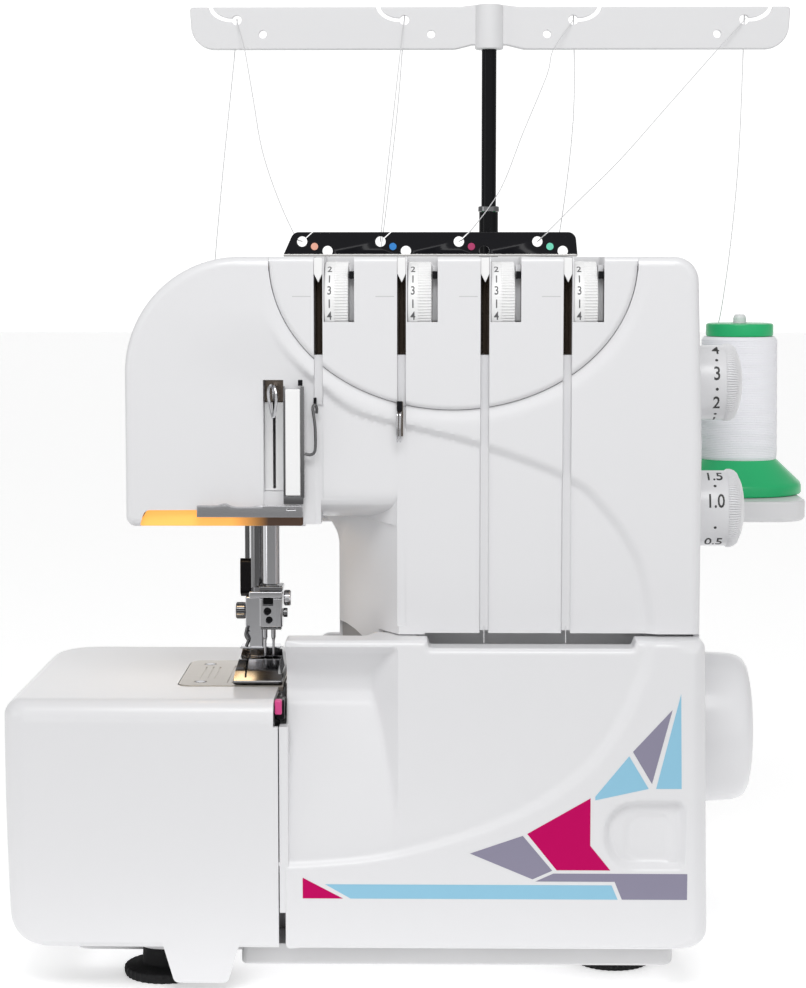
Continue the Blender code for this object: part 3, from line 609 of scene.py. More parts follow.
def half_ellipse(grow, steps=60, top=None):
    """The tension panel's lower edge, closed along a line at top where one is given."""
    points = []
    for k in range(steps + 1):
        turn = math.pi + math.pi * k / steps
        across = PANEL_CENTRE[0] + (PANEL_HALF[0] + grow) * math.cos(turn)
        points.append((across, PANEL_CENTRE[1] + (PANEL_HALF[1] + grow) * math.sin(turn)))
    if top is not None:
        edge = PANEL_HALF[0] + grow
        points += [(PANEL_CENTRE[0] + edge, top), (PANEL_CENTRE[0] - edge, top)]
    return points


def at_y(value, slack=0.02):
    """The test of bevelled() for edges that lie at one depth."""
    return lambda a, b: abs(a.y - value) < slack and abs(b.y - value) < slack


def gridded(obj, spacing, low, high, plane_y):
    """Splits the front face into a grid, so that its points can be moved."""
    level = spot(0, plane_y, 0).y
    with editing(obj.data) as shape:
        for normal, first, last in (((1, 0, 0), low[0], high[0]), ((0, 0, 1), low[1], high[1])):
            for k in range(int((last - first) / spacing) + 1):
                place = spot(*[share * (first + k * spacing) for share in normal])
                front = [f for f in shape.faces if all(abs(v.co.y - level) < 1e-5 for v in f.verts)]
                split(shape, place, normal, front)


def sunk(obj, sink, plane_y, reach=5.0):
    """Moves the points near the front face back by sink(points)."""
    co = np.array([(v.co - SHIFT) / MM for v in obj.data.vertices])
    depth = sink(co[:, [0, 2]])
    share = np.clip(1 - (co[:, 1] - plane_y) / reach, 0, 1)
    co[:, 1] += depth * share
    for vertex, place in zip(obj.data.vertices, co):
        vertex.co = spot(*place)


def column_corner(low, high):
    """The wedge off the column's front left corner, which slants back to the throat."""
    points = [COLUMN_FRONT, (COLUMN_BACK[0], COLUMN_FRONT[1]), COLUMN_BACK]
    return slab(points, "Z", low, high)


def arm_roll():
    """Rounds the arm's lower front edge, down to the column's slanted face."""
    deep, high, top = 42.0, 13.5, HEAD_BOTTOM + 0.9
    arc = []
    for k in range(17):
        turn = math.pi / 2 * k / 16
        arc.append((deep * (1 - math.cos(turn)), top + high * (1 - math.sin(turn))))
    roll = slab([(-5, top - 1), (-5, top + high), *arc, (deep, top - 1)], "X", -33.5, COLUMN_FRONT[0])
    return combined(roll, "INTERSECT", [column_corner(top - 3, top + 30)])


def column_undercut():
    """The curved relief at the column's foot, over the bed."""
    outline = [
        (THROAT_X - 3, 118), (THROAT_X - 3, 145.6), (-25, 145.0), (-21, 143.6), (-17, 141.3),
        (-13.5, 138.4), (-10.5, 134.5), (-8.5, 129), (-7.5, 118),
    ]
    return slab(outline, "Y", -5, 52.5)


def panel_dip(points):
    """A soft valley round the tension panel."""
    outline = half_ellipse(0, top=306)
    fade = 0.25 + 0.75 * eased((300 - points[:, 1]) / 34)
    return 1.1 * fade * (1 - eased(distances(points, outline + [outline[0]]) / 6.0))


def front_housing():
    outline = body_outline(HOUSING_LOW)
    outer = slab(outline, "Y", 0, SPLIT_Y)
    bevelled(outer, 3.4, 5, at_y(0))
    cavity = slab(shrunk(outline, SHELL_WALL), "Y", 3.0, SPLIT_Y + 3)
    cavity = cut(
        cavity,
        box((-60, -5, 90), (130, 20, 150)),
        slab([(4.4, -5), (THROAT_X - 12, -5), (THROAT_X - 12, 80)], "Z", 95, 210),
        box((CHANNEL_X[2] - 3.3, -5, 140), (CHANNEL_X[2] + 3.3, 13.5, 238.8)),
        box((CHANNEL_X[3] - 3.3, -5, 140), (CHANNEL_X[3] + 3.3, 13.5, 249.8)),
        box((-60.5, -5, 190), (-46.5, 36.5, 258)),
    )
    made = cut(
        outer,
        box((9, -5, 100), (130, 16.8, SEAM_Z)),
        box((-60, -5, 100), (9, 16.8, 146.65)),
        column_corner(100, HEAD_BOTTOM + 0.9),
        arm_roll(),
        slab(half_ellipse(0.2, top=306), "Y", -4, 17),
        box((PANEL_CENTRE[0] - PANEL_HALF[0] - 0.2, -4, 295.2),
            (PANEL_CENTRE[0] + PANEL_HALF[0] + 0.2, 33.3, 306)),
        *[box((x - CHANNEL_HALF, -5, 140), (x + CHANNEL_HALF, 12, 297)) for x in CHANNEL_X[2:]],
        cavity,
        box((-56.9, -5, 194.5), (-48.6, 3.0, 251)),
        box((-56.9, -5, 205), (-48.6, 34.6, 251)),
        box((-100, 20, 185), (-46, 78, 200)),
        slab(filleted([(-109.6, 185), (-40.7, 185), (-40.7, 198, 1), (-105.4, 198, 3)], 5), "Y", -5, 4),
        box((-50, 24, 100), (-45.6, 60, 125)),
        *[box((x - CHANNEL_HALF, -5, 150), (x + CHANNEL_HALF, 1.3, 297)) for x in CHANNEL_X[:2]],
        column_undercut(),
    )
    gridded(made, 1.25, (-106, 148), (120, 297), 0)
    sunk(made, lambda points: upper_sink(points) + panel_dip(points), 0)
    part(made, "upper_housing_front", WHITE, "machine", "white_plastic", "front_housing")


def shrunk(outline, inset):
    """An outline moved inwards by an even distance, from the turn of its sides."""
    points = [Vector(p) for p in outline]
    area = sum(a.x * b.y - b.x * a.y for a, b in zip(points, points[1:] + points[:1]))
    sign = 1 if area > 0 else -1
    moved = []
    for i, here in enumerate(points):
        before = (here - points[i - 1]).normalized()
        after = (points[(i + 1) % len(points)] - here).normalized()
        normal = Vector((-(before.y + after.y), before.x + after.x)) * sign
        if normal.length < 1e-6:
            continue
        normal.normalize()
        lean = max(0.5, normal.dot(Vector((-before.y, before.x)) * sign))
        moved.append(tuple(here + normal * inset / lean))
    return moved


def rear_housing():
    y_low = SPLIT_Y + 0.3
    outline = body_outline(COVER_BOTTOM)
    outer = slab(outline, "Y", y_low, BACK_Y)
    bevelled(outer, 3.5, 6, at_y(BACK_Y))
    bevelled(outer, 0.5, 2, at_y(y_low))
    cavity = slab(shrunk(outline, SHELL_WALL), "Y", y_low - 3, BACK_Y - SHELL_WALL)
    side = [
        (2.8, COVER_BOTTOM), (y_low + 1, COVER_BOTTOM), (y_low + 1, 111.7), (16.6, 111.7), (16.6, 146.8),
        (2.8, 146.8),
    ]
    made = cut(outer, cavity, box((-44, 60, 10), (118, 129, 24)))
    made = fused(made, slab(side, "X", BODY_RIGHT - 2.5, BODY_RIGHT))
    vents = [
        slab(filleted([(x, 40, 1.4), (x + 4, 40, 1.4), (x + 4, 72, 1.4), (x, 72, 1.4)], 4), "Y", BACK_Y - 1,
             BACK_Y + 3)
        for x in range(38, 84, 9)
    ]
    made = cut(
        made,
        rod(9.8, "X", SHAFT_YZ, 110, 130, 40),
        box((115, 108.1, 35.1), (125, 126.7, 54.9)),
        box((115, 101.7, 64.7), (125, 116.3, 85.3)),
        *vents,
    )
    part(made, "rear_shell", WHITE, "machine", "white_plastic", "rear_housing")


def bed_hump():
    """The rounded rear guard that shows at the foot of the column."""
    outline = filleted([(-41, 118), (-22, 118), (-22, 127.3, 5.5), (-41, 127.3, 5.5)])
    hump = bevelled(slab(outline, "Y", 124.2, 131), 1.4, 3, at_y(124.2))
    # The guard is painted a greyer white: painted shade.
    part(hump, "bed_rear_guard", SHADE_PAINTED_WHITE, "machine", "white_plastic")
    # A grey wall behind the column's foot, standing in for the shade of the gap there: painted shade.
    outline = [(THROAT_X + 0.2, 118), (THROAT_X + 0.2, 147), (-5, 147), (-5, 118)]
    backing = slab(outline, "Y", 0, 2.4)
    leaned(backing, COLUMN_FRONT, COLUMN_BACK, 4.0)
    part(backing, "column_foot_wall", PAINTED_SHADE_GREY, "machine", "white_plastic")


def leaned(obj, start, end, behind):
    """Turns a thin wall so that it runs along a slanting line in plan, a little behind it."""
    slope = (end[1] - start[1]) / (end[0] - start[0])
    for vertex in obj.data.vertices:
        x, y, z = (vertex.co - SHIFT) / MM
        vertex.co = spot(x, start[1] + slope * (x - start[0]) + behind + y, z)


def tension_panel():
    face = slab(half_ellipse(0), "Y", -1.0, 15.2)
    bevelled(face, 2.2, 6, at_y(-1.0))
    half = PANEL_HALF[0]
    cap = box((PANEL_CENTRE[0] - half, -1.0, 297), (PANEL_CENTRE[0] + half, 33, BODY_TOP))

    def top_edge(a, b):
        return max(a.y, b.y) < -0.9 and abs(a.x - b.x) > 50 and min(a.z, b.z) > 298

    def upright_edge(a, b):
        return max(a.y, b.y) < 1.5 and abs(a.x - b.x) < 0.1 and abs(a.z - b.z) > 1

    bevelled(cap, 2.2, 6, top_edge)
    bevelled(cap, 2.2, 6, upright_edge)
    rib_half = 2.4  # half the thickness of what is left round each channel
    starts = [-60] + [x + rib_half for x in CHANNEL_X]
    ends = [x - rib_half for x in CHANNEL_X] + [100]
    made = fused(face, cap)
    made = cut(
        made,
        *[box((a, 2, 200), (b, 20, 296)) for a, b in zip(starts, ends)],
        *[box((x + 2.3, -5, 274.6), (x + 14.6, 31.5, 305)) for x in CHANNEL_X],
        *[rod(DIAL_R + 0.5, "X", DIAL_YZ, x + 2.5, x + 14.5, 64) for x in CHANNEL_X],
        *[box((x - CHANNEL_HALF, -5, 200), (x + CHANNEL_HALF, 13.4, 305)) for x in CHANNEL_X],
    )
    for number, x in enumerate(CHANNEL_X, 1):
        line = bevelled(box((x - 10.5, -1.04, 284.7), (x - 3.0, -0.9, 285.05)), 0.02, 1)
        piece(line, f"index_line_{number}", INDEX_GREY, "machine", "white_plastic")
    part(made, "tension_face", WHITE, "machine", "white_plastic", "tension_panel")


def channel_parts():
    """What shows in the four thread channels: a dark metal liner, a pointed guide and the groove's floor."""
    for number, x in enumerate(CHANNEL_X, 1):
        section = [(-1.75, 4.6), (-1.2, 3.6), (-0.6, 6.4), (0.5, 7.0), (1.3, 4.6), (1.75, 4.8), (1.75, 11.8),
                   (-1.75, 11.8)]
        liner = slab([(x + dx, y) for dx, y in section], "Z", 261.4, 297.5)
        part(liner, f"channel_liner_{number}", BRONZE, "machine", "steel")
        guide = slab(
            [(x - 1.75, 300.4), (x + 1.75, 300.4), (x + 1.75, 294.0), (x + 0.1, 290.4), (x - 1.75, 294.0)],
            "Y", -0.6, 3.6,
        )
        bevelled(guide, 0.35, 2)
        part(guide, f"channel_guide_{number}", WHITER_AND_PAINTED_LIGHT, "machine", "white_plastic")
        low, front = ((241, 1.2), (240.5, 1.2), (148.6, 1.5), (148.6, 1.5))[number - 1]
        section = [(-1.75, front), (-1.5, front + 0.5), (1.3, front + 0.5), (1.75, front + 0.1),
                   (1.75, 11.6), (-1.75, 11.6)]
        floor = slab([(x + dx, y) for dx, y in section], "Z", low, 261.2)
        # The groove's floor is painted a greyer white: painted shade.
        part(floor, f"channel_floor_{number}", SHADE_PAINTED_WHITE, "machine", "white_plastic")


def cover_height(points):
    """How far back from the cover's front each point of its face lies."""
    x, z = points[:, 0], points[:, 1]
    depth = lower_sink(points)
    floor = 12.5 * np.clip((z - 60) / 64, 0, 1) ** 1.5
    floor -= 0.3 * eased((119.4 - z) / 1.2) * eased((z - 75) / 30)
    top = np.interp(z, [128, 133, 139.5, 143.4], [15, 11.5, 6.5, 0])
    side = np.clip((-1.8 - x) * 1.15, 0, 15)
    return depth + soft_least(np.clip(floor, 0, None), top, side, 0.6) + thumb_depth(points)


def soft_least(a, b, c, k):
    """The least of three depths, with soft changes from one to the next; none stays none."""
    low = np.minimum(np.minimum(a, b), c)
    blend = -k * np.log(np.exp(-a / k) + np.exp(-b / k) + np.exp(-c / k))
    return np.clip(np.where(low > 0, np.maximum(blend, low - k), 0), 0, None)


def thumb_depth(points):
    """A D-shaped finger recess with a second, smaller step in it."""
    depth = np.zeros(len(points))
    for low_x, high_x, low_z, high_z, round_left, deep, slope in (
        (81.5, 115.6, 52.2, 81.6, 13.5, 3.6, 3.2),
        (90.0, 109.4, 54.6, 75.6, 7.5, 0.8, 2.0),
    ):
        left = [(low_x, high_z, round_left), (low_x, low_z, round_left)]
        outline = filleted([*left, (high_x, low_z, 4), (high_x, high_z, 4)])
        gap = distances(points, outline + [outline[0]])
        gap = np.where(inside(points, outline), gap, 0)
        depth += deep * eased(gap / slope)
    return depth


def resampled(outline, step):
    """The outline with points at most a step apart."""
    points = []
    for (ax, az), (bx, bz) in zip(outline, list(outline[1:]) + [outline[0]]):
        count = max(1, math.ceil(math.hypot(bx - ax, bz - az) / step))
        points += [(ax + (bx - ax) * k / count, az + (bz - az) * k / count) for k in range(count)]
    return points


def relief(name, outline, front, height, radius, rim, spacing=1.0, wall=2.2):
    """A moulded front wall: height() sinks its face, its edge is rounded, and its rim runs back."""
    edge = resampled(outline, spacing)
    rings = [shrunk(edge, radius * share) for share in (0.04, 0.14, 0.3, 0.5, 0.75, 1.0)]
    low, high = np.min(edge, 0), np.max(edge, 0)
    columns, rows = np.arange(low[0], high[0], spacing), np.arange(low[1], high[1], spacing)
    grid = np.stack(np.meshgrid(columns, rows), -1).reshape(-1, 2)
    loop = edge + [edge[0]]
    grid = grid[inside(grid, edge) & (distances(grid, loop) > radius + spacing * 0.6)]
    between = np.array([p for ring in rings for p in ring])
    between = between[inside(between, edge) & (distances(between, loop) > radius * 0.03)]
    points = np.vstack([edge, between, grid])
    count = len(edge)
    sides = [(i, (i + 1) % count) for i in range(count)]
    flat, _, faces, _, _, _ = delaunay_2d_cdt([Vector(p) for p in points], sides, [], 0, 1e-5)
    flat = np.array([tuple(p) for p in flat])
    middles = np.array([flat[list(f)].mean(0) for f in faces])
    faces = [f for f, keep in zip(faces, inside(middles, edge)) if keep]
    # The rounding is tighter at the left edge and fuller at the right.
    local = radius * (0.3 + 0.7 * eased((flat[:, 0] - COVER_LEFT) / 8))
    local += 4.2 * eased((flat[:, 0] - 108) / 14)
    gap = np.minimum(distances(flat, loop), local)
    lift = local - np.sqrt(np.maximum(local**2 - (local - gap) ** 2, 0))
    y = front + height(flat) + lift
    shape = bmesh.new()
    placed = [shape.verts.new(spot(x, depth, z)) for (x, z), depth in zip(flat, y)]
    for face in faces:
        shape.faces.new([placed[i] for i in face])
    bmesh.ops.recalc_face_normals(shape, faces=shape.faces)
    border = [e for e in shape.edges if e.is_boundary]
    grown = bmesh.ops.extrude_edge_only(shape, edges=border)["geom"]
    for vertex in (v for v in grown if isinstance(v, bmesh.types.BMVert)):
        x, _, z = (vertex.co - SHIFT) / MM
        vertex.co = spot(x, rim(x, z), z)
    bmesh.ops.recalc_face_normals(shape, faces=shape.faces)
    if sum(f.normal.y * f.calc_area() for f in shape.faces) > 0:
        bmesh.ops.reverse_faces(shape, faces=shape.faces)
    obj = as_object(name, shape)
    solid = obj.modifiers.new("Wall", "SOLIDIFY")
    solid.thickness = wall * MM
    solid.offset = -1
    return baked(obj)


def looper_cover():
    outline = filleted([
        (COVER_LEFT, COVER_BOTTOM, 2),
        (COVER_RIGHT + 0.8, COVER_BOTTOM, 8),
        (COVER_RIGHT - 1.4, COVER_TOP, 3),
        (94.6, COVER_TOP, 0.8),
        (93.4, COVER_SILL, 1.2),
        (11.0, COVER_SILL, 1.2),
        (10.0, COVER_TOP, 0.8),
        (COVER_LEFT, COVER_TOP, 1.5),
    ])

    def rim(x, z):
        """How far back the cover's rim runs: deeper over the column's foot and the thread opening."""
        if z > 140:
            back = np.interp(x, [-15, -11, 2, 5], [1.8, 11.0, 11.0, 1.8])
        else:
            back = np.interp(x, [-9, -6], [15.6, 1.8])
        front = -9.5 + 5.5 * eased((x - 106) / 12)
        return float(front + (back - front) * eased((z - 19.5) / 7.5))

    cover = relief("looper", outline, COVER_FRONT, cover_height, 2.6, rim)
    piece(shaded(cover, 40), "looper_cover_shell", WHITE, "front_cover", "white_plastic", "looper_cover")
    block((-50.1, -13.5, 34), (-46.4, -6, 111), 0.3, 3, "cover_flange", WHITE, "front_cover",
          "white_plastic")
    for x in (0, 90):
        knuckle = rod(2.3, "X", HINGE_YZ, x, x + 4, 24)
        arm = box((x + 0.05, -12.2, 20.3), (x + 3.95, -9, 22.7))
        knuckle = cut(fused(knuckle, arm), rod(1.15, "X", HINGE_YZ, x - 1, x + 5, 20))
        part(knuckle, f"cover_knuckle_{x}", WHITE, "front_cover", "white_plastic")
    accent()


def accent():
    """A plain band of coloured facets below the sweep."""
    facets = (
        (MAGENTA, "start", [(-40.6, 48.9), (-40.6, 40.3), (-24.2, 40.3)]),
        (BLUE, "band", [(-31.4, 46.2), (85.2, 46.2), (87.7, 40.3), (-21.1, 40.3)]),
        (VIOLET, "step", [(54.2, 47.7), (61.5, 51.0), (115.9, 51.0), (115.9, 40.3), (89.4, 40.3),
                          (86.4, 47.7)]),
        (VIOLET, "low", [(27.6, 59.2), (49.0, 66.6), (61.0, 52.2), (53.0, 48.6)]),
        (MAGENTA, "middle", [(50.8, 67.4), (76.4, 82.2), (76.4, 62.6), (84.6, 52.4), (62.8, 52.4)]),
        (BLUE, "rise", [(78.3, 82.9), (91.9, 99.6), (99.9, 86.2), (78.3, 81.4)]),
        (VIOLET, "wedge", [(93.4, 101.4), (109.2, 118.6), (101.2, 88.2)]),
        (BLUE, "tall", [(112.6, 125.2), (113.2, 86.2), (102.9, 86.2)]),
    )
    for look, word, outline in facets:
        tile = slab(outline, "Y", COVER_FRONT - 0.10, COVER_FRONT + 0.25)
        piece(shaded(tile, weighted=False), f"accent_{word}", look, "front_cover", "white_plastic")


def side_cover():
    left, right = -163.2, -50.5
    plan = filleted([(left, COVER_FRONT, 10), (right, COVER_FRONT), (right, 130), (left, 130, 22)], 10)
    outer = slab(plan, "Z", COVER_BOTTOM, 121.5)
    bevelled(outer, 7.5, 8, lambda a, b: min(a.z, b.z) > 121 and min(a.x, b.x) < right - 0.1)
    bevelled(outer, 2.0, 3, lambda a, b: max(a.z, b.z) < 19.1 and min(a.x, b.x) < right - 0.1)
    inner = filleted([(left + 2.5, -11.5, 7.5), (right + 5, -11.5), (right + 5, 127.5),
                      (left + 2.5, 127.5, 19.5)])
    cavity = slab(inner, "Z", 10, 119)
    tongue = slab(filleted([(-99.4, 25), (-93.4, 4.5, 2.5), (-71.6, 4.5, 2.5), (-65.3, 25)], 6),
                  "Y", COVER_FRONT, -11.7)
    notch = filleted([(-95.4, 20.6, 6), (-40, 20.6), (-40, 84.4), (-95.4, 84.4, 6)])
    made = fused(cut(outer, cavity), tongue)
    made = cut(made, slab(notch, "Z", 110, 130), box((-52.4, -20, 111), (-40, 20.7, 130)))
    gridded(made, 4.0, (-158, 24), (-54, 112), COVER_FRONT)
    sliced(made, [20.2 + 1.6 * k for k in range(9)] + [40, 60, 80, 100])
    sunk(made, side_crown, COVER_FRONT, 12)
    drawn_in(made)
    part(made, "side_cover_shell", WHITE, "left_cover", "white_plastic", "side_cover")


def sliced(obj, levels):
    """Level rings of extra points all round a shell, so that it can be bent."""
    with editing(obj.data) as shape:
        for level in levels:
            split(shape, spot(0, 0, level), (0, 0, 1))


def drawn_in(obj, corner=13.0):
    """Rounds the side cover's lower left corner and gives its left side a little draught."""
    for vertex in obj.data.vertices:
        x, y, z = (vertex.co - SHIFT) / MM
        share = min(1, max(0, (-120 - x) / 40))
        low = min(corner, max(0, COVER_BOTTOM + corner - z))
        shift = corner - math.sqrt(corner**2 - low**2) + 2.2 * max(0, (85 - z) / 66) ** 1.5
        vertex.co = spot(x + shift * 0.8 * share, y, z)


def side_crown(points):
    """The side cover's front draws back a little towards its left edge and its foot."""
    left = np.clip((-118 - points[:, 0]) / 44, 0, 1) ** 2
    low = np.clip((60 - points[:, 1]) / 41, 0, 1) ** 2
    return 1.2 * left + 0.8 * low


def base_parts():
    outline = filleted([(-140, 20, 8), (-67, 20), (-67, 0, 3), (112, 0, 6), (112, 129, 6), (-140, 126, 8)])
    tray = slab(outline, "Z", 8.3, 17.3)
    tray = fused(tray, rod(12, "Z", (-100, 16), 13.4, 17.3, 40))
    tray = cut(tray, rod(10.6, "Z", (-100, 16), 7, 13.5, 40))
    bevelled(tray, 1.5, 3, lambda a, b: max(a.z, b.z) < 8.4)
    for x in (20, 74):
        tray = fused(
            tray,
            box((x, 1, 9.3), (x + 4, 6, 22.7)),
            box((x, -9, 20.3), (x + 4, 5, 22.7)),
            rod(2.3, "X", HINGE_YZ, x, x + 4, 24),
        )
    tray = cut(tray, rod(1.2, "X", HINGE_YZ, 10, 90, 20))
    part(tray, "base", TRAY_WHITE, "machine", "white_plastic", "base_tray")
    feet = (
        ("front_left", -100, 16, 17.5, 13.2),
        ("front_right", 89.5, 36, 16, 8),
        ("rear_left", -100, 108, 15, 8),
        ("rear_right", 89.5, 112, 15, 8),
    )
    for name, x, y, radius, top in feet:
        profile = [
            (0, top), (radius * 0.55, top), (radius * 0.58, 5.4), (radius * 0.7, 4.7), (radius - 1.2, 4.3),
            (radius - 0.3, 3.8), (radius, 3), (radius - 0.1, 1.2), (radius - 0.6, 0), (0, 0),
        ]

        def ribs(turn, r, z):
            return 0.25 * math.cos(36 * turn) if r > radius * 0.9 else 0

        foot = turned(profile, "Z", (x, y), 144, ribs)
        part(foot, f"rubber_foot_{name}", RUBBER, "machine", "rubber", f"foot_{name}")


# ---------------------------------------------------------------- dials and wheel


def on_drum(obj, axis_yz, radius, middle_turn):
    """Wraps flat lettering, drawn in X and Z, round a drum that lies along X."""
    for vertex in obj.data.vertices:
        turn = middle_turn + vertex.co.y / radius
        reach = radius + vertex.co.z
        y, z = axis_yz[0] - reach * math.cos(turn), axis_yz[1] + reach * math.sin(turn)
        vertex.co = spot(vertex.co.x, y, z)
    obj.data.update()
    return obj


def numeral(text, size, x, axis_yz, radius, turn, width):
    """A number printed on a drum."""
    curve = bpy.data.curves.new("numeral", "FONT")
    curve.body = text
    curve.size = size
    curve.align_x = "CENTER"
    curve.align_y = "CENTER"
    curve.extrude = PRINT_THICK
    curve.offset = size * 0.012
    curve.resolution_u = 3
    obj = baked(linked("numeral", curve))
    with editing(obj.data) as shape:
        for k in range(-8, 9):
            split(shape, (0, 0.6 * k, 0), (0, 1, 0))
    for vertex in obj.data.vertices:
        vertex.co.x = vertex.co.x * width + x
    return on_drum(obj, axis_yz, radius, math.radians(turn))


def stroke(x, axis_yz, radius, turn, long, wide):
    shape = bmesh.new()
    bmesh.ops.create_grid(shape, x_segments=1, y_segments=6, size=0.5)
    for vertex in shape.verts:
        vertex.co = Vector((vertex.co.x * wide + x, vertex.co.y * long, PRINT_THICK))
    return on_drum(from_bmesh("stroke", shape), axis_yz, radius, math.radians(turn))


def joined(name, parts):
    """Several mesh objects as one."""
    shape = bmesh.new()
    for obj in parts:
        shape.from_mesh(obj.data)
        bpy.data.objects.remove(obj, do_unlink=True)
    return as_object(name, shape)


def tension_dials():
    for number, channel in enumerate(CHANNEL_X, 1):
        low, middle, high = channel + 2.5, channel + 6.6, channel + 12.2
        profile = [
            (2.6, high), (14.6, high), (DIAL_R - 0.3, high - 0.2), (DIAL_R - 0.1, high - 0.5),
            (DIAL_R - 0.1, middle + 0.3), (DIAL_R, middle), (DIAL_R, low + 0.5), (DIAL_R - 0.5, low),
            (2.6, low),
        ]
        grooves = knurl(0.55, 80, lambda r, x: r > 14.7 and x > middle + 0.2)
        dial = turned(profile, "X", DIAL_YZ, 480, grooves)
        body = f"tension_{number}"
        # The drums are painted whiter to stay bright in the shade of their windows: painted light.
        piece(shaded(dial, 50, weighted=False), f"dial_drum_{number}", WHITER_AND_PAINTED_LIGHT, body, "white_plastic",
              f"tension_dial_{number}")
        place = (low + middle) / 2 + 0.05
        prints = []
        for k, text in enumerate(("5", "4", "3", "2")):
            turn = 15.0 + 37.4 * (k - 2)
            prints.append(numeral(text, 5.0, place, DIAL_YZ, DIAL_R, turn, 0.8))
            prints.append(stroke(place, DIAL_YZ, DIAL_R, turn - 18.7, 3.4, 0.5))
        piece(joined("print", prints), f"dial_print_{number}", GREY_INK, body, "black_plastic")
        slot = box((channel + 12.4, 5.2, 275), (channel + 14.5, 14.0, 297.5))
        # The slot's back is painted a greyer white: painted shade.
        piece(slot, f"dial_slot_back_{number}", SHADE_PAINTED_WHITE, "machine", "white_plastic")
        stop = box((channel + 12.5, 0.6, 292.0), (channel + 14.4, 12, 295.0))
        piece(bevelled(stop, 0.2, 2), f"dial_stop_{number}", BLACK, "machine", "black_plastic")


def side_dials():
    for name, body, z, radius, end, marks, dots in (
        (
            "stitch_length_dial", "stitch_length", 247.2, 16.6, 144.3,
            (("4", 61.7), ("3", 15.8), ("2", -31.0), ("1", -77.0)), (39.0, -7.5, -54.0),
        ),
        (
            "differential_dial", "differential", 193.0, 16.9, 145.9,
            (("1.5", 62.0), ("1.0", 15.5), ("0.5", -58.0)), (41.0, -25.0),
        ),
    ):
        axis = (60, z)
        profile = [
            (0, end), (radius * 0.25, end - 0.1), (radius * 0.48, end - 0.5), (radius * 0.66, end - 1.2),
            (radius * 0.76, end - 1.9), (radius * 0.80, end - 2.3), (radius * 0.90, end - 3.0),
            (radius * 0.965, end - 4.2), (radius, end - 5.8), (radius, end - 7.4),
            (radius * 0.975, end - 7.9), (radius * 0.96, end - 8.3), (radius * 0.96, 124.2),
            (radius * 0.97, 123.0), (radius * 0.955, 119.5), (0, 119.5),
        ]
        grooves = knurl(0.65, 96, lambda r, x: end - 7.6 < x < end - 2.6 and r > radius * 0.88)
        drum = turned(profile, "X", axis, 480, grooves)
        piece(shaded(drum, 50, weighted=False), f"{name}_cap", WHITE, body, "white_plastic", name)
        place = 132.3
        prints = [numeral(text, 8.4, place, axis, radius * 0.96, turn, 0.78) for text, turn in marks]
        prints += [dot_on_drum(place, axis, radius * 0.96, turn, 0.65) for turn in dots]
        piece(joined("print", prints), f"{name}_print", INK, body, "black_plastic")


def dot_on_drum(x, axis_yz, radius, turn, size):
    shape = bmesh.new()
    bmesh.ops.create_circle(shape, cap_ends=True, segments=16, radius=size)
    for vertex in shape.verts:
        vertex.co = Vector((vertex.co.x + x, vertex.co.y, PRINT_THICK))
    return on_drum(from_bmesh("dot", shape), axis_yz, radius, math.radians(turn))


def handwheel():
    profile = [
        (0, 149.7), (10, 149.6), (18, 149.2), (24, 148.5), (27.4, 147.7), (29.6, 146.4), (30.9, 144.4),
        (31.6, 141.8), (32.0, 138), (32.4, 130), (32.4, 127), (32.1, 124.8), (31.2, 123.4), (30, 123),
        (9, 123), (9, 116.5), (24, 116.5), (24, 114), (21, 112.5), (21, 109.5), (24, 108), (24, 105.5),
        (4.3, 105.5), (4.3, 134), (0, 134),
    ]
    wheel = turned(profile, "X", SHAFT_YZ, 160)
    piece(shaded(wheel, 40, weighted=False), "handwheel_rim", WHITE, "drive", "white_plastic", "handwheel")


# ---------------------------------------------------------------- stitching parts


